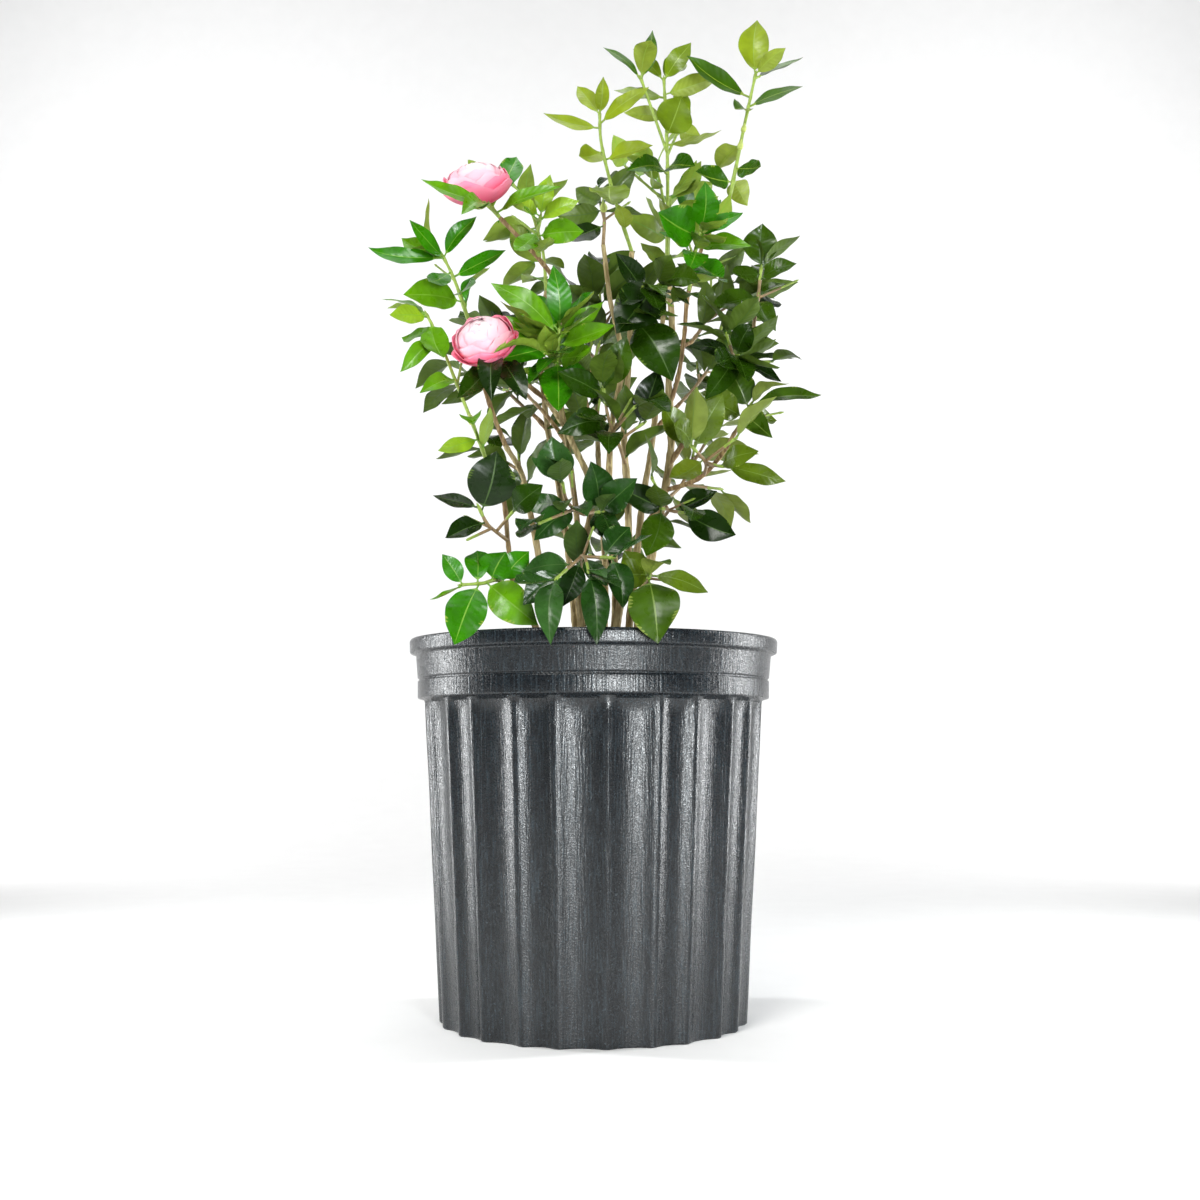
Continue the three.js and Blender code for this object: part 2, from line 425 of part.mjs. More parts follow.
// Radius of the inside at a height: a plain cone behind the flutes, then wider behind the bands.
const INNER = [
  [POT.floor, flutedValley(POT.floor) - POT.wall],
  [POT.fluteTop + POT.widening[0], flutedValley(POT.fluteTop) - POT.wall],
  [POT.bodyTop + POT.widening[1], POT.bandRadius - POT.bandWall[0]],
  [POT.bandTop, POT.bandRadius - POT.bandWall[1]],
  [POT.height, POT.lipRadius - POT.lipWidth],
];

function flutedValley(z) {
  return flutedRadius(arrisRadius(z), { across: 0.5, half: POT.wideFlute / 2 });
}

function potGeometry() {
  const { height, bodyTop, fluteTop, bandTop, grooveHeight, grooveHalf, grooveDepth } = POT;
  const { runOut, bandFoot, lipFoot, lipTop, bandRadius: band, lipRadius: lip } = POT;
  // [height, radius, how much of the flute shows]
  const outside = [
    [0, 0, 0],
    [0, arrisRadius(0), 1],
    [fluteTop, arrisRadius(fluteTop), 1],
    [bodyTop - runOut.below, POT.bodyRadius + runOut.out, runOut.share],
    [bodyTop, band - bandFoot.inset, 0],
    [bodyTop + bandFoot.height, band, 0],
    [grooveHeight - grooveHalf, band, 0],
    [grooveHeight, band - grooveDepth, 0],
    [grooveHeight + grooveHalf, band + POT.upperBand[0], 0],
    [bandTop, band + POT.upperBand[1], 0],
    [bandTop + lipFoot.height, lip - lipFoot.inset, 0],
    [height - lipTop.height, lip, 0],
    [height, lip - lipTop.inset, 0],
  ];
  const inside = INNER.map(([z, radius]) => [z, radius, 0]).reverse();
  const rows = [...outside, ...inside, [POT.floor, 0, 0]];
  const columns = fluteColumns();
  const profile = rows.map(([z, radius]) => new THREE.Vector2(radius, z));
  const geometry = new THREE.LatheGeometry(profile, columns.length);
  const position = geometry.getAttribute('position');
  for (let i = 0; i <= columns.length; i += 1) {
    const column = columns[i % columns.length];
    const angle = THREE.MathUtils.degToRad(column.angle);
    rows.forEach(([z, radius, flute], row) => {
      const r = radius + flute * (flutedRadius(radius, column) - radius);
      position.setXYZ(i * rows.length + row, r * Math.sin(angle), -r * Math.cos(angle), z);
    });
  }
  return weld(geometry);
}

function mixGeometry() {
  const wall = INNER.filter(([z]) => z < MIX.edgeTop).map(([z, radius]) => [radius - MIX.gap, z]);
  const edge = wall.at(-1)[0] + MIX.edgeOut;
  const profile = [
    [0, POT.floor + GAP],
    [wall[0][0], POT.floor + GAP],
    ...wall.slice(1),
    [edge, MIX.edgeTop],
    [edge - MIX.slope.width, MIX.top - MIX.slope.drop],
    [MIX.flatRadius, MIX.top],
    [0, MIX.top],
  ].map(([radius, z]) => new THREE.Vector2(radius, z));
  const geometry = new THREE.LatheGeometry(profile, MIX.columns);
  geometry.rotateX(Math.PI / 2);
  return weld(geometry);
}

// ---------------------------------------------------------------- limbs

const vector = (p) => new THREE.Vector3(...p);
const radians = THREE.MathUtils.degToRad;
const mix = THREE.MathUtils.lerp;

// A smooth axis through a few points.
function axisThrough(points) {
  return new THREE.CatmullRomCurve3(points.map(vector), false, 'catmullrom', 0.5);
}

// Any unit vector square to another.
function squareTo(direction) {
  const helper = Math.abs(direction.z) < 0.8 ? new THREE.Vector3(0, 0, 1) : new THREE.Vector3(1, 0, 0);
  return helper.cross(direction).normalize();
}

// The rings of a limb at some places along its axis.
function ringsOf(axis, radiusAt, places, levelFoot = false) {
  return places.map((place, ring) => ({
    centre: axis.getPoint(place),
    along: levelFoot && ring === 0 ? new THREE.Vector3(0, 0, 1) : axis.getTangent(place),
    radius: radiusAt(place),
  }));
}

// A tapering limb: rings of a few sides, carried along without twist and capped.
function limbGeometry(rings, sides) {
  const points = [];
  let side = squareTo(rings[0].along);
  for (const { centre, along, radius } of rings) {
    side = side.clone().addScaledVector(along, -side.dot(along)).normalize();
    const other = along.clone().cross(side);
    for (let k = 0; k < sides; k += 1) {
      const turn = (2 * Math.PI * k) / sides;
      points.push(centre.clone()
        .addScaledVector(side, radius * Math.cos(turn))
        .addScaledVector(other, radius * Math.sin(turn)));
    }
  }
  const faces = [];
  for (let ring = 0; ring < rings.length - 1; ring += 1) {
    for (let k = 0; k < sides; k += 1) {
      const [a, b] = [ring * sides + k, ring * sides + ((k + 1) % sides)];
      faces.push(a, b, a + sides, b, b + sides, a + sides);
    }
  }
  const last = (rings.length - 1) * sides;
  for (let k = 1; k < sides - 1; k += 1) {
    faces.push(0, k + 1, k, last, last + k, last + k + 1);
  }
  return geometryFrom(points, faces);
}

const evenPlaces = (count) => Array.from({ length: count }, (_, i) => i / (count - 1));

// Works out a limb: its axis starts on the limb that carries it.
function makeLimb(spec, limbs) {
  const carrier = limbs.get(spec.from);
  const limb = { ...spec, carrier };
  const points = carrier ? [footOn(carrier, spec.at), ...spec.points] : spec.points;
  limb.axis = axisThrough(points);
  limb.length = limb.axis.getLength();
  limb.radiusAt = (u) => {
    const flare = carrier ? 0 : LIMB.flare * Math.exp((-u * limb.length) / LIMB.flareHeight);
    return mix(spec.radius[0], spec.radius[1], u) * (1 + flare);
  };
  return limb;
}

const footOn = (carrier, at) => carrier.axis.getPoint(at).toArray();

function limbRings(limb, extra = 0) {
  const even = evenPlaces(limb.carrier ? LIMB.boughRings : LIMB.stemRings);
  const places = limb.carrier ? even : [0, LIMB.footRing, ...even.slice(1)];
  return ringsOf(limb.axis, (u) => limb.radiusAt(u) + extra, places, !limb.carrier);
}

// A piece starts on its carrier's axis and is cut back, so that it ends a gap clear of it.
function cutClearOfCarrier(solid, { carrier }) {
  if (!carrier) return solid;
  const rings = limbRings(carrier, LIMB.clearance);
  const tip = rings.at(-1);
  rings.push({ ...tip, centre: tip.centre.clone().addScaledVector(tip.along, GAP) });
  return solid.subtract(toManifold(limbGeometry(rings, LIMB.sides)));
}

// ---------------------------------------------------------------- growth rule

// Seeded numbers from 0 to 1: the same seed always gives the same plant.
function seededNumbers(seed) {
  let state = seed >>> 0;
  return () => {
    state = (state + 0x6d2b79f5) >>> 0;
    let t = Math.imul(state ^ (state >>> 15), state | 1);
    t = (t + Math.imul(t ^ (t >>> 7), t | 61)) ^ t;
    return ((t ^ (t >>> 14)) >>> 0) / 4294967296;
  };
}

// What already stands in the crown: rods are limbs and twigs, blades are leaves.
const rods = [];
const blades = [];

function addRods(axis, radiusAt, steps) {
  for (let i = 0; i < steps; i += 1) {
    const [a, b] = [axis.getPoint(i / steps), axis.getPoint((i + 1) / steps)];
    rods.push({ line: new THREE.Line3(a, b), radius: radiusAt(i / steps) });
  }
}

// Points that stand for a leaf: along the midrib and along both margins.
function samplesOf(leaf) {
  const samples = LEAF.midrib.map((s) => leaf.foot.clone().lerp(leaf.tip, s));
  const along = leaf.tip.clone().sub(leaf.foot).normalize();
  const side = along.cross(leaf.normal);
  for (const s of LEAF.margin) {
    const half = (leaf.width / 2) * Math.min(s / LEAF.widest, (1 - s) / (1 - LEAF.widest));
    const middle = leaf.foot.clone().lerp(leaf.tip, s);
    samples.push(middle.clone().addScaledVector(side, half), middle.addScaledVector(side, -half));
  }
  return samples;
}

function inPot(p) {
  const r = Math.hypot(p.x, p.y);
  if (r < CLEAR.mixRadius) return p.z < MIX.top + CLEAR.overMix;
  return r < POT.lipRadius + CLEAR.besideLip && p.z < POT.height + CLEAR.overLip;
}

function isClear(samples, mass, [strangerGap, sisterGap]) {
  const nearest = new THREE.Vector3();
  for (const p of samples) {
    if (inPot(p)) return false;
    for (const rod of rods) {
      rod.line.closestPointToPoint(p, true, nearest);
      if (nearest.distanceTo(p) < rod.radius + CLEAR.limb) return false;
    }
    for (const blade of blades) {
      const gap = blade.mass === mass ? sisterGap : strangerGap;
      if (blade.samples.some((q) => q.distanceTo(p) < gap)) return false;
    }
  }
  return true;
}

// Which way a blade's upper side looks: up, and out from the crown, square to its length.
function bladeNormal(along, out, face) {
  const normal = new THREE.Vector3(0, 0, 1 - face).addScaledVector(out, face);
  normal.addScaledVector(along, -normal.dot(along));
  if (normal.length() < LEAF.shortestNormal) return squareTo(along);
  return normal.normalize();
}

// Level direction from the crown's middle line to a point.
function outwardAt(p) {
  const out = new THREE.Vector3(p.x - CROWN_AXIS[0], p.y - CROWN_AXIS[1], 0);
  return out.length() < 1 ? new THREE.Vector3(0, -1, 0) : out.normalize();
}

function addTwig(mass, points, foot, tip, steps) {
  const axis = axisThrough(points);
  const radiusAt = (u) => mix(foot, tip, u);
  mass.twigs.push({ axis, radiusAt });
  addRods(axis, radiusAt, steps);
}

function placeOn(mass, place) {
  const twig = mass.twigs[Math.floor(place)];
  return twig.axis.getPoint(place % 1);
}

function startMass(spec, limbs) {
  const carrier = limbs.get(spec.from);
  const mass = { ...spec, carrier, twigs: [], leafList: [] };
  addTwig(mass, [footOn(carrier, spec.at), ...spec.points], TWIG.foot, TWIG.tip, TWIG.stemRods);
  for (const [at, ...tip] of spec.forks ?? []) {
    addTwig(mass, [placeOn(mass, at).toArray(), tip], TWIG.side, TWIG.tip, TWIG.sideRods);
  }
  if (spec.bloom) {
    const heart = vector(spec.bloom.centre);
    rods.push({ line: new THREE.Line3(heart, heart), radius: spec.bloom.radius * BLOOM.free });
  }
  return mass;
}

function keepLeaf(mass, leaf, gaps) {
  const samples = samplesOf(leaf);
  if (!isClear(samples, mass, gaps)) return false;
  mass.leafList.push(leaf);
  blades.push({ mass, samples });
  return true;
}

// The leaves that draw the outline: each runs from its place on a twig to a stated tip.
function growAimedLeaves(mass) {
  for (const [place, x, y, z, width, face] of mass.aims) {
    const foot = placeOn(mass, place);
    const tip = new THREE.Vector3(x, y, z);
    const along = tip.clone().sub(foot).normalize();
    const out = new THREE.Vector3(0, y < CROWN_AXIS[1] ? -1 : 1, 0);
    keepLeaf(mass, { foot, tip, width, normal: bladeNormal(along, out, face) }, CLEAR.aimed);
  }
}

// A direction that leans from a twig by one angle and is turned round it by another.
function leaning(along, lean, turn) {
  const side = squareTo(along);
  const other = along.clone().cross(side);
  return along.clone().multiplyScalar(Math.cos(lean))
    .addScaledVector(side, Math.sin(lean) * Math.cos(turn))
    .addScaledVector(other, Math.sin(lean) * Math.sin(turn));
}

function growSideTwigs(mass, random) {
  for (let i = 0; i < (mass.sideTwigs ?? 0); i += 1) {
    const at = mix(TWIG.zone[0], TWIG.zone[1], (i + 0.5) / mass.sideTwigs);
    const stem = mass.twigs[0].axis;
    const foot = stem.getPoint(at);
    const start = radians(360 * random());
    const reach = mix(TWIG.sideLength[0], TWIG.sideLength[1], random());
    for (let k = 0; k < LEAF.tries; k += 1) {
      const heading = leaning(stem.getTangent(at), radians(TWIG.lean), start + radians(LEAF.turn * k));
      heading.addScaledVector(outwardAt(foot), LEAF.outward).normalize();
      const tip = foot.clone().addScaledVector(heading, reach);
      const samples = TWIG.checks.map((s) => foot.clone().lerp(tip, s));
      if (isClear(samples, mass, CLEAR.seeded)) {
        addTwig(mass, [foot.toArray(), tip.toArray()], TWIG.side, TWIG.tip, TWIG.sideRods);
        break;
      }
    }
  }
}

// Leaves shared out along all the mass's twigs, each turned on from the last.
function growSeededLeaves(mass, random) {
  const lengths = mass.twigs.map((twig) => twig.axis.getLength());
  const total = lengths.reduce((sum, length) => sum + length, 0);
  let turn = 360 * random();
  mass.twigs.forEach((twig, number) => {
    const first = number === 0 ? LEAF.first.stem : LEAF.first.side;
    const count = Math.round((mass.leaves * lengths[number]) / total);
    for (let i = 0; i < count; i += 1) {
      const place = mix(first, 1, count === 1 ? 1 : i / (count - 1));
      const size = mass.length * (1 + LEAF.spread * (2 * random() - 1));
      const straightened = place > LEAF.end.place ? LEAF.end.lean : 1;
      const lean = mix(LEAF.lean[0], LEAF.lean[1], random()) * straightened;
      turn += LEAF.turn;
      growOneLeaf(mass, twig, { place, size, lean, turn, roll: random() });
    }
  });
}

function growOneLeaf(mass, twig, { place, size, lean, turn, roll }) {
  const foot = twig.axis.getPoint(place);
  const stemward = twig.axis.getTangent(place);
  for (let k = 0; k < LEAF.tries; k += 1) {
    const heading = leaning(stemward, radians(lean), radians(turn + LEAF.retry * k));
    heading.addScaledVector(outwardAt(foot), LEAF.outward).add(new THREE.Vector3(0, 0, -LEAF.droop));
    heading.normalize();
    const tip = foot.clone().addScaledVector(heading, size);
    const normal = bladeNormal(heading, outwardAt(tip), mix(LEAF.face[0], LEAF.face[1], roll));
    const leaf = { foot, tip, width: size * LEAF.width, normal };
    if (keepLeaf(mass, leaf, CLEAR.seeded)) return;
  }
}

// ---------------------------------------------------------------- foliage solids

// A leaf of eight faces: pointed at both ends, folded along its midrib, thickest at the neck.
function leafGeometry({ foot, tip, width, normal }) {
  const along = tip.clone().sub(foot).normalize();
  const side = along.clone().cross(normal);
  const root = foot.clone().addScaledVector(along, -LEAF.rootDepth);
  const neck = foot.clone().lerp(tip, LEAF.neck);
  const widest = foot.clone().lerp(tip, LEAF.widest).addScaledVector(normal, width * LEAF.fold);
  const points = [
    root,
    tip,
    widest.clone().addScaledVector(side, width / 2),
    widest.clone().addScaledVector(side, -width / 2),
    neck.clone().addScaledVector(normal, LEAF.thickness / 4),
    neck.clone().addScaledVector(normal, (-3 * LEAF.thickness) / 4),
  ];
  const faces = [0, 2, 4, 2, 1, 4, 1, 3, 4, 3, 0, 4, 2, 0, 5, 1, 2, 5, 3, 1, 5, 0, 3, 5];
  return geometryFrom(points, faces);
}

// A double blossom: a round heart with a ring of broad petals.
function bloomSolids({ centre, axis, radius }) {
  const up = vector(axis).normalize();
  const heart = vector(centre).addScaledVector(up, -BLOOM.sunk * radius);
  const profile = BLOOM.heart.map(([r, h]) => new THREE.Vector2(r, h));
  const core = new THREE.LatheGeometry(profile, BLOOM.petals);
  core.scale(radius, radius, radius);
  core.applyQuaternion(new THREE.Quaternion().setFromUnitVectors(new THREE.Vector3(0, 1, 0), up));
  core.translate(heart.x, heart.y, heart.z);
  const petals = Array.from({ length: BLOOM.petals }, (_, i) => {
    const heading = leaning(up, radians(BLOOM.lean), radians((360 * i) / BLOOM.petals));
    const tip = heart.clone().addScaledVector(heading, radius * BLOOM.reach);
    const normal = bladeNormal(heading, up, 1);
    return toManifold(leafGeometry({ foot: heart, tip, width: radius * BLOOM.petalWidth, normal }));
  });
  return [toManifold(core), ...petals];
}

function foliageGeometry(mass) {
  const twigs = mass.twigs.map((twig) => (
    toManifold(limbGeometry(ringsOf(twig.axis, twig.radiusAt, evenPlaces(TWIG.rings + 1)), 3))
  ));
  const leaves = mass.leafList.map((leaf) => toManifold(leafGeometry(leaf)));
  const blooms = mass.bloom ? bloomSolids(mass.bloom) : [];
  const joined = wasm.Manifold.union([...twigs, ...leaves, ...blooms]);
  return toGeometry(cutClearOfCarrier(joined, mass));
}

// ---------------------------------------------------------------- assembly

const group = new THREE.Group();

function addMesh(name, geometry, look) {
  const mesh = new THREE.Mesh(geometry, new THREE.MeshStandardMaterial(COLOURS[look]));
  mesh.name = name;
  group.add(mesh);
}

addMesh('pot', potGeometry(), 'pot');
addMesh('potting_mix', mixGeometry(), 'mix');

const limbs = new Map();
for (const spec of [...STEMS, ...BOUGHS]) {
  const limb = makeLimb(spec, limbs);
  limbs.set(limb.name, limb);
  addRods(limb.axis, limb.radiusAt, LIMB.rods);
  const solid = toManifold(limbGeometry(limbRings(limb), LIMB.sides));
  addMesh(limb.name, toGeometry(cutClearOfCarrier(solid, limb)), 'bark');
}

const masses = FOLIAGE.map((spec) => startMass(spec, limbs));
masses.forEach(growAimedLeaves);
for (const mass of masses) {
  const random = seededNumbers(mass.seed);
  growSideTwigs(mass, random);
  growSeededLeaves(mass, random);
  addMesh(mass.name, foliageGeometry(mass), mass.tone);
}

export default group;
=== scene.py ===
"""Looks of the camellia shrub and its nursery pot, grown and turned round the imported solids.

The plant's tables are in millimetres, as the solids' are; every mesh is scaled to metres by MM.
+Z is up and -Y is the front. The growth rule is the solids' own, carried to finer twigs.
"""

import math

import bpy
import numpy as np
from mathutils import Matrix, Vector, noise


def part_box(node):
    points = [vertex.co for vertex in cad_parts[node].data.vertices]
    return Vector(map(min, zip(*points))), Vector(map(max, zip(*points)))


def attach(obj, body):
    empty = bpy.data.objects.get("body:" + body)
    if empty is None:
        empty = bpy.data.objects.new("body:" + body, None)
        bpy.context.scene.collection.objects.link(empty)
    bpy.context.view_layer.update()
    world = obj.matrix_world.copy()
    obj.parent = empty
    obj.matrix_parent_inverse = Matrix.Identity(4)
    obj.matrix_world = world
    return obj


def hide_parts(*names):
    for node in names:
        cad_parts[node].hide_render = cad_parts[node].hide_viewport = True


MM = 0.001
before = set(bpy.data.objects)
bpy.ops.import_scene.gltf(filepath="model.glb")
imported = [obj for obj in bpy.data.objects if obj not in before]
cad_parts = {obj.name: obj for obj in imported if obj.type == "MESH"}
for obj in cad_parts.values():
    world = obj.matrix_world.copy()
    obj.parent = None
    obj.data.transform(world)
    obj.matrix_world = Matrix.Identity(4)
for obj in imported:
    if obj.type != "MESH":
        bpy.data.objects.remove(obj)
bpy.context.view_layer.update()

# ------------------------------------------------------------------ sizes, in millimetres

POT = dict(
    height=305, foot_radius=122.7, body_top=258, body_radius=137.4, flute_top=245,
    flutes=24, wide_flute=16.7, narrow_flute=13.3, flute_depth=4, parting_angle=4.7,
    band_radius=143.6, band_top=293, groove_height=272.5,
    lip_radius=150, lip_width=3.6, wall=2.2, floor=3,
)
MIX = dict(top=280, edge=275, flat_radius=62, wall_gap=0.8)
LIMB = dict(flare=0.8, flare_height=14, rods=12)
TWIG = dict(foot=2.2, tip=1.5, side=1.8, length=(30, 46), lean=50, zone=(0.25, 0.8),
            checks=(0.5, 0.75, 1), stem_rods=6, side_rods=3)
LEAF = dict(width=0.44, widest=0.45, spread=0.16, lean=(48, 72), turn=137.5, outward=0.35,
            droop=0.16, tries=12, retry=150, face=(0.1, 0.65), first=(0.12, 0.3),
            end_place=0.97, end_lean=0.6, midrib=(0.3, 0.5, 0.7, 0.85, 1),
            margin=(0.3, 0.5, 0.75), shortest_normal=0.15)
# [from leaves of other masses, from leaves of the same mass]
CLEAR = dict(limb=2.6, seeded=(7, 4.4), aimed=(4.6, 1.5), fine=(3, 2.2), mix_radius=139,
             over_mix=4, beside_lip=2.5, over_lip=1.5)
# The finer growth: the twigs' lengths, how far it may pass the solids' reach, and for each mass
# how many more twigs, how many more leaves to each leaf of the solids, and how large they are.
FINE = dict(length=(20, 34), reach=3, usual=(1, 0.1, 0.8), masses={
    "foliage_centre_left": (2, 0.9, 0.95), "foliage_centre": (2, 0.9, 0.95),
    "foliage_inner": (3, 1.1, 1), "foliage_back_centre": (2, 0.6, 0.95),
    "foliage_front_mid": (1, 0.1, 0.9), "foliage_upper_centre": (1, 0.1, 0.9),
    "foliage_back_top": (1, 0.5, 0.9), "foliage_mid_right": (1, 0.3, 0.9),
    "foliage_front_low": (1, 0.3, 0.9), "foliage_side_left": (1, 0.5, 0.9),
    "foliage_side_right": (1, 0.4, 0.9),
    **{"foliage_" + bare: (0, 0, 1) for bare in (
        "top", "top_left", "tall_right", "upper_bloom", "rim_left", "lower_bloom")}})
BLOOM_FREE = 0.6  # share of a blossom's radius that leaves keep clear of
PHASE = 6.28  # about one turn: what a random number from 0 to 1 is spread over
CROWN_AXIS = np.array((0.0, 12.0))
FOOT = MIX["top"] + 0.3

def named(kind, keys, rows):
    return [dict(zip(keys, (kind + row[0], *row[1:]))) for row in rows]


# The limbs: radius at the foot and the tip, and the axis's points. A bough starts at a place from
# 0 to 1 along its carrier.
STEMS = named("stem_", ("name", "radius", "points"), [
    ("right", [4.1, 2.3], [[34, 0, FOOT], [39, 0, 335], [50, 2, 385], [62, 4, 446], [65, 5, 481],
     [63, 6, 521], [66, 8, 572], [62, 8, 628]]),
    ("front", [3.6, 1.9], [[14, -15, FOOT], [20, -15, 324], [28, -14, 368], [28, -12, 423], [25, -10, 478],
     [29, -9, 533], [31, -8, 583], [32, -8, 631]]),
    ("centre", [3.4, 1.8], [[14, 9, FOOT], [18, 9, 331], [17, 10, 381], [13, 12, 442], [16, 13, 493],
     [24, 14, 544], [14, 15, 597], [8, 15, 645]]),
    ("bloom", [3.4, 2], [[-5, -10, FOOT], [-11, -12, 339], [-8, -14, 378], [-2, -16, 412], [-4, -18, 437],
     [-15, -20, 461], [-23, -24, 478], [-39, -32, 500]]),
    ("left_centre", [3.1, 1.9], [[-13, 10, FOOT], [-9, 9, 331], [-12, 8, 376], [-15, 8, 416], [-22, 6, 471],
     [-30, 4, 523], [-29, 2, 576], [-36, 0, 615]]),
    ("left", [3.2, 2], [[-30, 0, FOOT], [-40, -3, 330], [-46, -4, 379], [-55, -4, 424], [-60, -4, 445],
     [-73, -5, 467]]),
    ("low_left", [3, 2.1], [[-33, -22, FOOT], [-44, -34, 309], [-53, -46, 328], [-63, -58, 342]]),
    ("back_right", [3.6, 1.9], [[26, 27, FOOT], [33, 32, 348], [41, 42, 422], [52, 55, 492], [58, 70, 563],
     [64, 82, 625]]),
    ("back_left", [3.5, 1.9], [[-12, 31, FOOT], [-18, 40, 349], [-27, 54, 424], [-40, 66, 494],
     [-47, 76, 560], [-43, 82, 625]]),
    ("back", [3.3, 1.9], [[7, 36, FOOT], [10, 50, 345], [8, 72, 411], [4, 92, 473], [2, 106, 530]]),
])
BOUGHS = named("bough_", ("name", "carrier", "at", "radius", "points"), [
    ("tall_right", "stem_right", 0.657, [1.9, 1.6], [[71, 3, 528], [76, 2, 561], [80, 0, 600],
     [96, -2, 649], [115, -4, 681]]),
    ("right", "stem_right", 0.45, [2.4, 1.8], [[78, -2, 475], [95, -6, 504], [114, -12, 532],
     [131, -16, 556]]),
    ("low_right", "stem_right", 0.39, [2, 1.6], [[75, -6, 434], [91, -16, 441], [106, -24, 458],
     [115, -30, 473]]),
    ("side_right", "stem_right", 0.79, [1.9, 1.6], [[74, 16, 556], [84, 28, 564]]),
    ("side_left", "stem_left_centre", 0.57, [2, 1.6], [[-34, 18, 490], [-44, 28, 504]]),
    ("left_high", "stem_left", 1, [2, 1.7], [[-87, -8, 503], [-97, -11, 539], [-104, -14, 571]]),
    ("left_low", "stem_low_left", 1, [2, 1.7], [[-67, -60, 377], [-72, -56, 418], [-84, -52, 442]]),
    ("upper_bloom", "stem_left_centre", 1, [1.9, 1.7], [[-47, -6, 627], [-61, -14, 640], [-78, -22, 656]]),
    ("lower_bloom", "stem_bloom", 1, [2, 1.8], [[-56, -42, 512], [-70, -52, 523]]),
    ("back_right", "stem_back_right", 0.6, [2.1, 1.7], [[64, 70, 508], [76, 80, 522]]),
    ("back_low_right", "stem_back_right", 0.34, [2.2, 1.7], [[52, 54, 420], [64, 66, 434]]),
    ("back_left", "stem_back_left", 0.6, [2.1, 1.7], [[-50, 78, 508], [-62, 88, 520]]),
    ("back_low_left", "stem_back_left", 0.34, [2.2, 1.7], [[-37, 62, 418], [-50, 76, 430]]),
    ("back_low", "stem_back", 0.3, [2.2, 1.7], [[11, 72, 366], [12, 86, 373]]),
])
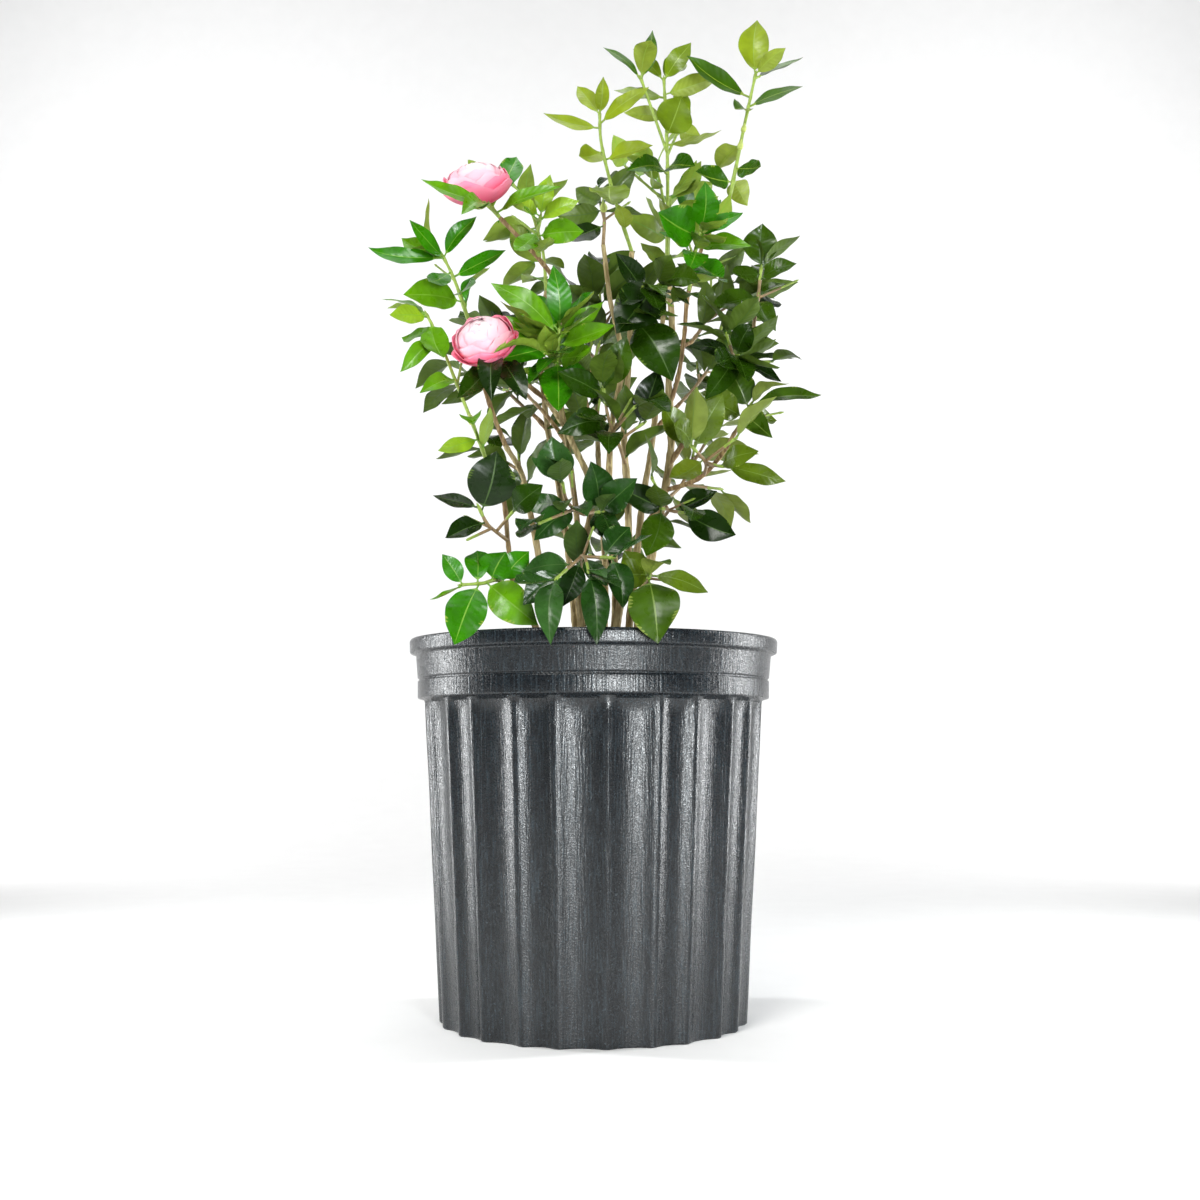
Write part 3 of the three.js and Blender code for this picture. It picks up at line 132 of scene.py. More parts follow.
# The masses: the points of their own stem, its forks as (place, tip), and the leaves that draw the
# outline as (place, tip, width, face). A place is the twig's number and how far along it. The
# leaves and side twigs that are only counted come from the seeded rule.
FOLIAGE = named("foliage_", ("name", "carrier", "at", "seed", "leaves", "side_twigs", "length", "tone",
                             "points", "forks", "aims"), [
    ("top", "stem_right", 1, 11, 5, 0, 44, "shoot", [[63, 8, 700], [62, 6, 743], [60, 4, 787]],
     [[0.5, 40, -12, 780], [0.48, 74, 24, 752]], [[0.99, 34, 10, 817, 15, 0.6],
     [0.99, 83, -2, 817, 18, 0.8], [0.9, 108, 20, 798, 18, 0.5], [0.88, 17, -10, 771, 20, 0.6],
     [0.62, 73, -30, 757, 32, 1], [0.75, 26, 26, 767, 16, 0.4], [1.99, 8, -20, 804, 13, 0.5],
     [1.99, 50, -6, 826, 14, 0.8], [2.9, 94, 34, 748, 16, 0.6], [0.36, 27, -30, 693, 20, 0.8],
     [0.4, 84, -30, 697, 22, 0.9]]),
    ("tall_right", "bough_tall_right", 1, 12, 1, 0, 38, "shoot", [[121, -6, 710], [126, -8, 735],
     [131, -9, 758], [137, -10, 785]], [], [[0.99, 139, -8, 834, 26, 1], [0.97, 178, -4, 803, 18, 0.4],
     [0.82, 78, -26, 794, 20, 0.7], [0.74, 175, -22, 769, 17, 0.6], [0.7, 116, -44, 740, 17, 0.8],
     [0.2, 138, -34, 695, 20, 0.9], [0.1, 84, -36, 690, 22, 0.9], [0.12, 133, 30, 685, 20, 0.6],
     [0.4, 108, 30, 718, 20, 0.6]]),
    ("top_left", "stem_front", 1, 13, 2, 0, 36, "shoot", [[20, -11, 668], [12, -14, 697], [6, -16, 725],
     [5, -16, 748]], [], [[0.86, -42, -24, 745, 15, 0.7], [0.99, -14, 2, 780, 15, 0.8],
     [0.99, 8, -34, 772, 12, 0.8], [0.9, 46, -30, 765, 17, 0.7], [0.66, -12, -44, 700, 20, 0.9],
     [0.6, 49, -34, 713, 19, 0.7], [0.42, 15, -56, 655, 34, 1]]),
    ("upper_right", "bough_tall_right", 0.6, 14, 6, 0, 44, "bright", [[83, -18, 622], [88, -34, 640]], [],
     [[0.9, 52, -62, 646, 34, 1], [0.99, 90, -60, 672, 22, 0.9], [0.99, 106, -20, 672, 20, 0.7],
     [0.9, 122, -44, 652, 19, 0.6], [0.7, 129, -38, 626, 20, 0.7], [0.5, 104, -62, 592, 22, 0.9],
     [0.6, 76, -72, 596, 22, 0.9]]),
    ("right", "bough_right", 1, 15, 5, 0, 38, "dark", [[136, -18, 587], [139, -19, 614]], [],
     [[0.99, 140, -24, 650, 29, 1], [0.8, 167, -30, 614, 18, 0.7], [0.9, 113, -40, 603, 19, 0.8],
     [0.4, 156, 10, 594, 18, 0.7], [0.5, 147, -48, 552, 18, 0.9], [0.55, 96, -38, 576, 22, 0.8]]),
    ("mid_right", "bough_right", 0.75, 16, 6, 1, 46, "dark", [[115, -34, 531], [115, -52, 531]], [],
     [[0.7, 161, -56, 527, 18, 0.4], [0.4, 153, -34, 514, 16, 0.5], [0.99, 95, -98, 514, 24, 1],
     [0.99, 124, -84, 548, 20, 0.9], [0.9, 88, -74, 490, 20, 0.9], [0.6, 75, -58, 537, 18, 0.7]]),
    ("far_right", "bough_low_right", 1, 17, 1, 0, 44, "olive", [[121, -34, 482], [127, -36, 494]], [],
     [[0.99, 186, -30, 504, 15, 0.6], [0.9, 110, -40, 524, 24, 1], [0.6, 84, -62, 498, 25, 0.9],
     [0.6, 141, -70, 460, 20, 0.9], [0.8, 152, -6, 488, 20, 0.7]]),
    ("low_right", "stem_right", 0.33, 18, 4, 1, 46, "dark", [[61, -22, 410], [54, -44, 408]],
     [[0.5, 72, -48, 404]], [[1.99, 112, -64, 384, 25, 0.9], [0.99, 41, -74, 366, 26, 0.9],
     [1.4, 100, -34, 424, 20, 0.6], [0.8, 18, -64, 424, 22, 0.9]]),
    ("lower_right", "bough_low_right", 0.5, 19, 2, 1, 46, "olive", [[90, -42, 446], [78, -58, 456]],
     [[0.4, 104, -56, 440]], [[1.99, 152, -62, 427, 19, 0.7], [1.8, 128, -88, 446, 18, 0.9],
     [0.9, 102, -72, 494, 25, 1], [0.99, 54, -70, 488, 22, 0.9], [0.99, 62, -100, 464, 22, 0.9],
     [0.6, 60, -62, 430, 20, 0.7]]),
    ("rim_right", "stem_right", 0.14, 20, 1, 0, 46, "olive", [[42, -50, 345], [44, -100, 348],
     [41, -133, 342]], [], [[0.99, 47, -158, 292, 38, 1], [0.8, 86, -118, 333, 18, 0.6],
     [0.75, 14, -118, 345, 24, 0.8], [0.4, 24, -60, 372, 22, 0.9]]),
    ("side_right", "bough_side_right", 1, 21, 13, 2, 44, "dark", [[94, 44, 582], [102, 58, 606],
     [104, 68, 634]], [], []),
    ("side_left", "bough_side_left", 1, 22, 14, 2, 46, "dark", [[-60, 40, 524], [-76, 52, 552],
     [-86, 60, 584]], [], []),
    ("upper_bloom", "bough_upper_bloom", 1, 23, 1, 0, 36, "bright", [[-86, -25, 665], [-95, -28, 677]],
     [[0.1, -88, -56, 656]], [[1.99, -138, -68, 671, 15, 0.7], [0.25, -108, 14, 720, 17, 0.8],
     [0.4, -66, 8, 720, 20, 0.8], [0.2, -26, -40, 676, 18, 0.6], [1.6, -104, -84, 636, 18, 0.8]]),
    ("bloom_shoot", "bough_upper_bloom", 0.333, 24, 2, 0, 36, "bright", [[-47, -16, 642], [-44, -22, 657]],
     [], [[0.99, -71, -2, 682, 15, 0.8], [0.8, -56, -60, 650, 15, 0.8], [0.99, -36, -24, 692, 16, 0.9],
     [0.9, -12, -34, 666, 18, 0.7], [0.5, -8, -34, 640, 22, 1], [0.6, -64, -52, 618, 18, 0.9]]),
    ("lower_bloom", "bough_lower_bloom", 1, 25, 6, 0, 44, "dark", [[-77, -55, 530], [-86, -60, 538]], [],
     [[0.5, -106, -82, 489, 20, 0.8], [0.6, -78, -94, 484, 20, 0.9], [0.4, -110, -30, 510, 20, 0.7],
     [0.3, -52, -84, 487, 20, 0.9]]),
    ("left", "bough_left_high", 1, 26, 2, 0, 44, "bright", [[-112, -15, 595], [-118, -16, 610],
     [-125, -16, 624]], [], [[0.99, -187, -20, 631, 17, 0.7], [0.97, -163, 6, 648, 18, 0.7],
     [0.99, -97, -24, 656, 15, 0.8], [0.95, -150, -44, 646, 15, 0.7], [0.7, -132, -58, 590, 18, 0.9],
     [0.6, -72, -34, 624, 19, 0.7], [0.2, -154, -46, 583, 28, 0.9], [0.3, -94, -62, 588, 20, 0.8]]),
    ("left_mid", "bough_left_low", 1, 27, 2, 0, 42, "bright", [[-94, -50, 469], [-108, -46, 504],
     [-126, -40, 549], [-136, -38, 569]], [], [[0.97, -163, -60, 562, 18, 0.8],
     [0.9, -118, -72, 524, 22, 0.9], [0.75, -154, -58, 516, 16, 0.7], [0.8, -160, -8, 558, 20, 0.6],
     [0.55, -136, -78, 494, 16, 0.8], [0.2, -122, -70, 450, 16, 0.7], [0.3, -92, -92, 466, 18, 0.8]]),
    ("low_left", "bough_left_low", 0.36, 28, 1, 1, 42, "dark", [[-74, -72, 384], [-82, -84, 390],
     [-88, -90, 402]], [[0.4, -62, -90, 398]], [[0.9, -74, -98, 444, 38, 1],
     [0.99, -124, -84, 412, 17, 0.5], [0.7, -112, -104, 376, 18, 0.7], [1.99, -38, -108, 416, 22, 0.9]]),
    ("rim_left", "stem_low_left", 0.8, 29, 1, 0, 30, "bright", [[-72, -78, 346], [-84, -98, 342],
     [-99, -106, 340]], [], [[0.72, -102, -130, 293, 31, 1], [0.6, -41, -112, 309, 29, 1],
     [0.5, -66, -100, 366, 26, 0.9], [0.3, -50, -72, 370, 20, 0.9], [0.99, -113, -116, 362, 15, 0.8],
     [0.75, -90, -76, 370, 20, 0.7]]),
    ("rim_centre", "stem_bloom", 0.19, 30, 5, 0, 42, "blue", [[-10, -60, 366], [-6, -110, 360],
     [-3, -138, 346]], [[0.5, -27, -130, 342], [0.6, 14, -126, 358]], [[1.99, -30, -160, 291, 21, 1],
     [0.99, 3, -161, 291, 21, 1], [2.99, 22, -150, 318, 20, 0.9], [1.7, -52, -122, 323, 21, 0.9],
     [1.4, -54, -88, 352, 21, 0.9], [2.7, 28, -106, 384, 22, 0.9], [0.3, -24, -76, 326, 20, 0.9]]),
    ("front_low", "stem_bloom", 0.43, 31, 6, 1, 44, "blue", [[-8, -40, 404], [-20, -62, 410],
     [-24, -72, 424]], [[0.35, 6, -66, 402]], [[0.99, -32, -86, 458, 29, 1], [1.9, -2, -88, 438, 26, 1],
     [1.99, 34, -92, 424, 25, 0.9], [0.5, -46, -76, 378, 22, 0.9], [1.6, 20, -84, 376, 21, 0.9],
     [0.7, -58, -60, 410, 18, 0.8]]),
    ("centre_left", "stem_left_centre", 0.73, 32, 10, 0, 46, "bright", [[-30, -20, 529], [-29, -45, 533],
     [-27, -56, 552]], [], [[0.8, -77, -70, 524, 20, 0.8], [0.9, -83, -48, 592, 22, 0.8],
     [0.95, -60, -30, 586, 20, 0.8], [0.99, -32, -72, 599, 20, 1], [0.9, 8, -56, 574, 18, 0.7],
     [0.8, 17, -80, 548, 18, 0.8], [0.6, -3, -88, 524, 22, 0.9], [0.55, -27, -84, 478, 28, 1],
     [0.3, 2, -50, 506, 20, 0.9]]),
    ("centre", "stem_front", 0.87, 33, 7, 1, 46, "dark", [[42, -30, 588], [54, -52, 590]],
     [[0.3, 34, -60, 556]], [[0.99, 18, -80, 541, 40, 1], [1.99, 62, -84, 502, 38, 1],
     [0.5, 18, -56, 614, 20, 0.8], [0.95, 84, -86, 582, 22, 0.8]]),
    ("upper_centre", "stem_centre", 1, 34, 3, 1, 44, "dark", [[9, 12, 665], [8, 8, 680]], [],
     [[0.4, -24, -10, 640, 20, 0.8], [0.99, -16, 44, 706, 20, 0.8], [0.99, 34, 40, 712, 20, 0.8],
     [0.8, -32, 18, 672, 20, 0.8]]),
    ("front_mid", "stem_front", 0.5, 35, 8, 1, 48, "dark", [[21, -38, 460], [12, -60, 478], [8, -70, 500]],
     [[0.4, 40, -60, 474]], [[0.6, -28, -78, 462, 22, 0.9], [0.99, 26, -92, 536, 24, 0.9],
     [0.9, -28, -84, 510, 22, 0.8], [1.8, 52, -70, 516, 24, 0.9], [0.5, 12, -96, 442, 22, 0.9]]),
    ("inner", "stem_centre", 0.52, 44, 12, 2, 48, "dark", [[6, 26, 478], [-4, 40, 504], [-8, 52, 538],
     [-2, 60, 572]], [], []),
    ("back_top", "stem_back_right", 1, 36, 14, 3, 48, "bright", [[67, 87, 664], [63, 84, 706],
     [56, 78, 740]], [], []),
    ("back_upper_left", "stem_back_left", 1, 37, 10, 2, 48, "bright", [[-46, 87, 662], [-55, 86, 698]], [],
     []),
    ("back_centre", "stem_back", 1, 38, 18, 3, 54, "dark", [[2, 118, 572], [6, 122, 612], [4, 118, 648]],
     [], []),
    ("back_right", "bough_back_right", 1, 39, 15, 2, 52, "dark", [[92, 94, 542], [108, 104, 568],
     [116, 108, 600]], [], []),
    ("back_low_right", "bough_back_low_right", 1, 40, 12, 2, 48, "olive", [[76, 84, 448], [86, 100, 468],
     [92, 112, 494]], [], []),
    ("back_left", "bough_back_left", 1, 41, 12, 2, 52, "dark", [[-80, 98, 540], [-94, 106, 566],
     [-102, 108, 598]], [], []),
    ("back_low_left", "bough_back_low_left", 1, 42, 12, 2, 48, "dark", [[-58, 92, 444], [-66, 108, 466],
     [-70, 120, 492]], [], []),
    ("back_low", "bough_back_low", 1, 43, 10, 2, 50, "dark", [[12, 102, 382], [16, 120, 396],
     [16, 134, 418]], [], []),
])
BLOOMS = {
    "foliage_upper_bloom": dict(centre=[-97, -31, 682], axis=[-0.12, -0.5, 0.86], radius=27),
    "foliage_lower_bloom": dict(centre=[-87, -64, 541], axis=[-0.2, -0.78, 0.6], radius=25),
}

# ------------------------------------------------------------------ the growth rule


def unit(v):
    return v / np.linalg.norm(v)


def lerp(a, b, t):
    return (1 - t) * a + t * b


class Axis:
    """A smooth axis through a few points: a uniform Catmull-Rom curve."""

    def __init__(self, points):
        self.points = [np.array(p, float) for p in points]

    def at(self, t):
        points, last = self.points, len(self.points) - 1
        place = last * t
        start = min(math.floor(place), last - 1)
        w = place - start
        b, c = points[start], points[start + 1]
        a = points[start - 1] if start > 0 else 2 * points[0] - points[1]
        d = points[start + 2] if start + 2 <= last else 2 * points[last] - points[last - 1]
        slope_b, slope_c = 0.5 * (c - a), 0.5 * (d - b)
        return (
            b + slope_b * w + (-3 * b + 3 * c - 2 * slope_b - slope_c) * w * w
            + (2 * b - 2 * c + slope_b + slope_c) * w ** 3
        )

    def tangent(self, t, step=1e-4):
        return unit(self.at(min(1, t + step)) - self.at(max(0, t - step)))

    def length(self, pieces=200):
        dots = np.array([self.at(i / pieces) for i in range(pieces + 1)])
        return float(np.linalg.norm(np.diff(dots, axis=0), axis=1).sum())


def square_to(direction):
    helper = np.array((0.0, 0, 1) if abs(direction[2]) < 0.8 else (1.0, 0, 0))
    return unit(np.cross(helper, direction))


def leaning(along, lean, turn):
    """A direction that leans from a twig by one angle, turned round it by another."""
    side = square_to(along)
    other = np.cross(along, side)
    return (along * math.cos(lean) + side * math.sin(lean) * math.cos(turn)
            + other * math.sin(lean) * math.sin(turn))


def blade_normal(along, out, face):
    normal = np.array((0, 0, 1 - face)) + out * face
    normal = normal - along * normal.dot(along)
    if np.linalg.norm(normal) < LEAF["shortest_normal"]:
        return square_to(along)
    return unit(normal)


def outward_at(p):
    out = np.array((p[0] - CROWN_AXIS[0], p[1] - CROWN_AXIS[1], 0.0))
    return np.array((0.0, -1, 0)) if np.linalg.norm(out) < 1 else unit(out)


def seeded_numbers(seed):
    """Seeded numbers from 0 to 1, the same as the solids'."""
    state = seed & 0xFFFFFFFF

    def following():
        nonlocal state
        state = (state + 0x6D2B79F5) & 0xFFFFFFFF
        t = ((state ^ (state >> 15)) * (state | 1)) & 0xFFFFFFFF
        t = ((t + (((t ^ (t >> 7)) * (t | 61)) & 0xFFFFFFFF)) & 0xFFFFFFFF) ^ t
        return (t ^ (t >> 14)) / 4294967296

    return following


class Space:
    """What already stands in the crown: rods are limbs and twigs, dots stand for leaves."""

    def __init__(self, room=40000):
        self.starts = np.zeros((room, 3))
        self.ways = np.zeros((room, 3))
        self.squares = np.ones(room)
        self.radii = np.zeros(room)
        self.rods = 0
        self.dots = np.zeros((room, 3))
        self.owners = np.zeros(room, int)
        self.count = 0

    def add_rods(self, axis, radius_at, steps):
        for i in range(steps):
            self.add_rod(axis.at(i / steps), axis.at((i + 1) / steps), radius_at(i / steps))

    def add_rod(self, start, end, radius):
        i = self.rods
        self.starts[i], self.ways[i], self.radii[i] = start, end - start, radius
        self.squares[i] = max((end - start).dot(end - start), 1e-12)
        self.rods += 1

    def add_dots(self, dots, owner):
        self.dots[self.count:self.count + len(dots)] = dots
        self.owners[self.count:self.count + len(dots)] = owner
        self.count += len(dots)

    def is_clear(self, dots, owner, gaps):
        dots = np.array(dots)
        if any(in_pot(p) for p in dots):
            return False
        n = self.rods
        offset = dots[:, None, :] - self.starts[None, :n]
        along = np.clip((offset * self.ways[:n]).sum(2) / self.squares[:n], 0, 1)
        gap = np.linalg.norm(offset - along[..., None] * self.ways[:n], axis=2)
        if (gap < self.radii[:n] + CLEAR["limb"]).any():
            return False
        m = self.count
        needed = np.where(self.owners[:m] == owner, gaps[1], gaps[0])
        gap = np.linalg.norm(dots[:, None, :] - self.dots[None, :m], axis=2)
        return not (gap < needed).any()


def in_pot(p):
    r = math.hypot(p[0], p[1])
    if r < CLEAR["mix_radius"]:
        return p[2] < MIX["top"] + CLEAR["over_mix"]
    return r < POT["lip_radius"] + CLEAR["beside_lip"] and p[2] < POT["height"] + CLEAR["over_lip"]


class Limb:
    def __init__(self, spec, limbs):
        self.name, self.ends = spec["name"], spec["radius"]
        self.carrier = limbs.get(spec.get("carrier"))
        points = spec["points"]
        if self.carrier:
            points = [self.carrier.axis.at(spec["at"]), *points]
        self.axis = Axis(points)
        self.length = self.axis.length()

    def radius_at(self, u):
        flare = 0 if self.carrier else LIMB["flare"] * math.exp(-u * self.length / LIMB["flare_height"])
        return lerp(*self.ends, u) * (1 + flare)


class Twig:
    def __init__(self, points, foot, tip, fine=False):
        self.axis = Axis(points)
        self.foot, self.tip, self.fine = foot, tip, fine
        self.nodes = []

    def radius_at(self, u):
        return lerp(self.foot, self.tip, u)


class Mass:
    """A foliage mass: its twigs and its leaves, grown in its own space."""

    def __init__(self, number, spec, limbs, space):
        self.number, self.spec, self.space = number, spec, space
        self.name, self.tone = spec["name"], spec["tone"]
        self.twigs, self.leaves = [], []
        foot = limbs[spec["carrier"]].axis.at(spec["at"])
        self.add_twig([foot, *spec["points"]], TWIG["foot"], TWIG["stem_rods"])
        for place, *tip in spec["forks"]:
            self.add_twig([self.place_on(place), tip], TWIG["side"], TWIG["side_rods"])
        if self.name in BLOOMS:
            bloom = BLOOMS[self.name]
            heart = np.array(bloom["centre"], float)
            space.add_rod(heart, heart, bloom["radius"] * BLOOM_FREE)

    def add_twig(self, points, foot, rods, fine=False):
        twig = Twig(points, foot, TWIG["tip"], fine)
        self.twigs.append(twig)
        self.space.add_rods(twig.axis, twig.radius_at, rods)

    def place_on(self, place):
        return self.twigs[int(place)].axis.at(place % 1)

    def keep_leaf(self, twig, place, foot, tip, width, normal, gaps, fine=False):
        dots = leaf_dots(foot, tip, width, normal)
        if fine and not self.within_reach(dots):
            return False
        if not self.space.is_clear(dots, self.number, gaps):
            return False
        leaf = dict(foot=foot, tip=tip, width=width, normal=normal, twig=twig, place=place)
        self.leaves.append(leaf)
        twig.nodes.append(place)
        self.space.add_dots(dots, self.number)
        return True

    def within_reach(self, dots):
        low, high = np.array(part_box(self.name)) / MM
        dots = np.array(dots)
        return bool((dots > low - FINE["reach"]).all() and (dots < high + FINE["reach"]).all())

    def grow_aimed_leaves(self):
        for place, x, y, z, width, face in self.spec["aims"]:
            foot, tip = self.place_on(place), np.array((x, y, z), float)
            out = np.array((0, -1.0 if y < CROWN_AXIS[1] else 1.0, 0))
            normal = blade_normal(unit(tip - foot), out, face)
            twig = self.twigs[int(place)]
            self.keep_leaf(twig, place % 1, foot, tip, width, normal, CLEAR["aimed"])

    def grow_side_twigs(self, random, count, lengths, gaps, fine=False):
        stem = self.twigs[0].axis
        for i in range(count):
            at = lerp(*TWIG["zone"], (i + 0.5) / count)
            foot = stem.at(at)
            start = math.radians(360 * random())
            reach = lerp(*lengths, random())
            for k in range(LEAF["tries"]):
                turn = start + math.radians(LEAF["turn"] * k)
                heading = leaning(stem.tangent(at), math.radians(TWIG["lean"]), turn)
                heading = unit(heading + outward_at(foot) * LEAF["outward"])
                tip = foot + heading * reach
                checks = [lerp(foot, tip, s) for s in TWIG["checks"]]
                if fine and not self.within_reach(checks):
                    continue
                if self.space.is_clear(checks, self.number, gaps):
                    self.add_twig([foot, tip], TWIG["side"], TWIG["side_rods"], fine)
                    break

    def grow_seeded_leaves(self, random, leaves, length, gaps, fine=False):
        lengths = [twig.axis.length() for twig in self.twigs]
        turn = 360 * random()
        for number, twig in enumerate(list(self.twigs)):
            count = math.floor(leaves * lengths[number] / sum(lengths) + 0.5)
            first = LEAF["first"][0 if number == 0 else 1]
            for i in range(count):
                place = lerp(first, 1, 1 if count == 1 else i / (count - 1))
                size = length * (1 + LEAF["spread"] * (2 * random() - 1))
                lean = lerp(*LEAF["lean"], random())
                if place > LEAF["end_place"]:
                    lean *= LEAF["end_lean"]
                turn += LEAF["turn"]
                self.grow_one_leaf(twig, place, size, lean, turn, random(), gaps, fine)

    def grow_one_leaf(self, twig, place, size, lean, turn, roll, gaps, fine):
        foot, stemward = twig.axis.at(place), twig.axis.tangent(place)
        for k in range(LEAF["tries"]):
            heading = leaning(stemward, math.radians(lean), math.radians(turn + LEAF["retry"] * k))
            heading = heading + outward_at(foot) * LEAF["outward"] - np.array((0, 0, LEAF["droop"]))
            heading = unit(heading)
            tip = foot + heading * size
            normal = blade_normal(heading, outward_at(tip), lerp(*LEAF["face"], roll))
            if self.keep_leaf(twig, place, foot, tip, size * LEAF["width"], normal, gaps, fine):
                return


def leaf_dots(foot, tip, width, normal):
    """Points that stand for a leaf: along its midrib and along both margins."""
    dots = [lerp(foot, tip, s) for s in LEAF["midrib"]]
    side = np.cross(unit(tip - foot), normal)
    for s in LEAF["margin"]:
        half = width / 2 * min(s / LEAF["widest"], (1 - s) / (1 - LEAF["widest"]))
        middle = lerp(foot, tip, s)
        dots += [middle + side * half, middle - side * half]
    return dots


def grow_plant():
    """The limbs and masses of the solids, leaf for leaf, and then the finer growth."""
    space, limbs = Space(), {}
    for spec in [*STEMS, *BOUGHS]:
        limb = Limb(spec, limbs)
        limbs[limb.name] = limb
        space.add_rods(limb.axis, limb.radius_at, LIMB["rods"])
    masses = [Mass(number, spec, limbs, space) for number, spec in enumerate(FOLIAGE)]
    for mass in masses:
        mass.grow_aimed_leaves()
    for mass in masses:
        random = seeded_numbers(mass.spec["seed"])
        mass.grow_side_twigs(random, mass.spec["side_twigs"], TWIG["length"], CLEAR["seeded"])
        mass.grow_seeded_leaves(random, mass.spec["leaves"], mass.spec["length"], CLEAR["seeded"])
    in_solids = sum(len(mass.leaves) for mass in masses)
    for mass in masses:
        random = seeded_numbers(mass.spec["seed"] + FINE_SEEDS)
        twigs, share, size = FINE["masses"].get(mass.name, FINE["usual"])
        mass.grow_side_twigs(random, twigs, FINE["length"], CLEAR["fine"], True)
        length = mass.spec["length"] * size
        mass.grow_seeded_leaves(random, len(mass.leaves) * share, length, CLEAR["fine"], True)
    in_all = sum(len(mass.leaves) for mass in masses)
    print(f"leaves in the solids {in_solids}, in all {in_all}")
    return limbs, masses


# ------------------------------------------------------------------ meshes


def placed(name, data):
    """A new object of the scene."""
    thing = bpy.data.objects.new(name, data)
    bpy.context.scene.collection.objects.link(thing)
    return thing


class Shape:
    """Points and faces gathered for one joined piece, each face with its material's number."""

    def __init__(self):
        self.points, self.faces, self.looks, self.places, self.count = [], [], [], [], 0

    def add(self, points, faces, looks, places=None):
        points = np.asarray(points, float).reshape(-1, 3)
        self.points.append(points)
        self.faces += [[i + self.count for i in face] for face in faces]
        self.looks += looks if isinstance(looks, list) else [looks] * len(faces)
        places = np.zeros((len(points), 2)) if places is None else places
        self.places.append(np.asarray(places, float).reshape(-1, 2))
        self.count += len(points)

    def add_rings(self, rings, looks, caps=True, places=None):
        """Rings of equal size joined into a skin. looks: one number, or one for each ring gap."""
        n = len(rings[0])
        faces, face_looks = [], []
        for ring in range(len(rings) - 1):
            look = looks if isinstance(looks, int) else looks[ring]
            for k in range(n):
                a, b = ring * n + k, ring * n + (k + 1) % n
                faces.append([a, b, b + n, a + n])
                face_looks.append(look if isinstance(look, int) else look[k])
        if caps:
            last = (len(rings) - 1) * n
            faces += [list(range(n))[::-1], [last + k for k in range(n)]]
            face_looks += [face_looks[0], face_looks[-1]]
        self.add(np.concatenate([np.asarray(r) for r in rings]), faces, face_looks, places)

    def make(self, name, slot, materials, replaces=(), smooth=True, sharp=None):
        mesh = bpy.data.meshes.new(name)
        mesh.from_pydata((np.concatenate(self.points) * MM).tolist(), [], self.faces)
        mesh.polygons.foreach_set("material_index", self.looks)
        mesh.polygons.foreach_set("use_smooth", [smooth] * len(self.faces))
        across = mesh.attributes.new("blade", "FLOAT2", "POINT")
        across.data.foreach_set("vector", np.concatenate(self.places).astype(np.float32).ravel())
        for material in materials:
            mesh.materials.append(material)
        if sharp is not None:
            mesh.set_sharp_from_angle(angle=math.radians(sharp))
        mesh.update()
        piece = placed(name, mesh)
        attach(piece, "root")
        if replaces:
            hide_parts(*replaces)


def ring_at(centre, side, other, radii):
    """A ring of points round a centre; radii holds one radius for each point."""
    turns = 2 * math.pi * np.arange(len(radii)) / len(radii)
    return centre + np.outer(np.cos(turns) * radii, side) + np.outer(np.sin(turns) * radii, other)


def tube(shape, axis, radius_at, sides, spacing, look_at, rough=None):
    """A skin round an axis, its rings carried along without twist."""
    length = axis.length()
    count = max(3, round(length / spacing) + 1)
    side, rings, looks = square_to(axis.tangent(0)), [], []
    for u in np.arange(count) / (count - 1):
        centre, along = axis.at(u), axis.tangent(u)
        side = unit(side - along * side.dot(along))
        radii = np.full(sides, radius_at(u))
        if rough:
            radii = rough(u * length, radii)
        rings.append(ring_at(centre, side, np.cross(along, side), radii))
        looks.append(look_at(u))
    shape.add_rings(rings, looks[:-1])


# ------------------------------------------------------------------ leaves

# A blade: its petiole's share and stations, stations along it, half-widths, thickness, and the
# ranges that its fold, arch, twist, sideways bow, wave and curl are drawn from.
BLADE = dict(petiole=0.1, petiole_stations=(0, 0.04, 0.08, 0.1), stations=22, petiole_half=0.7,
             petiole_thick=0.65, tip_half=0.1, thickness=0.45, thick=(1.6, 0.5), full=(0.86, 0.78),
             tip_from=0.74, tip_narrow=0.42, tip_curve=1.4, fold=(0.02, 0.5), cup=1.25,
             arch=(-0.06, 0.16), twist=(-30, 30), twist_from=0.3, bow=0.12, wave=0.07,
             waves=(1.5, 3), wave_offset=1.3, curl=0.1, keel=2.2)
COLUMNS = np.array((-1, -0.7, -0.36, -0.035, 0.035, 0.36, 0.7, 1))  # across it, margin to margin
RIB = 3  # the middle gap between columns


def blade_half(t, width):
    """Half-width along the blade, t from 0 to 1: elliptic, with a short drawn-out tip."""
    if not 0 < t < 1:
        return 0
    along, fullness = BLADE["full"]
    past = max(0, (t - BLADE["tip_from"]) / (1 - BLADE["tip_from"]))
    tip = 1 - BLADE["tip_narrow"] * past ** BLADE["tip_curve"]
    return width / 2 * math.sin(math.pi * t ** along) ** fullness * tip


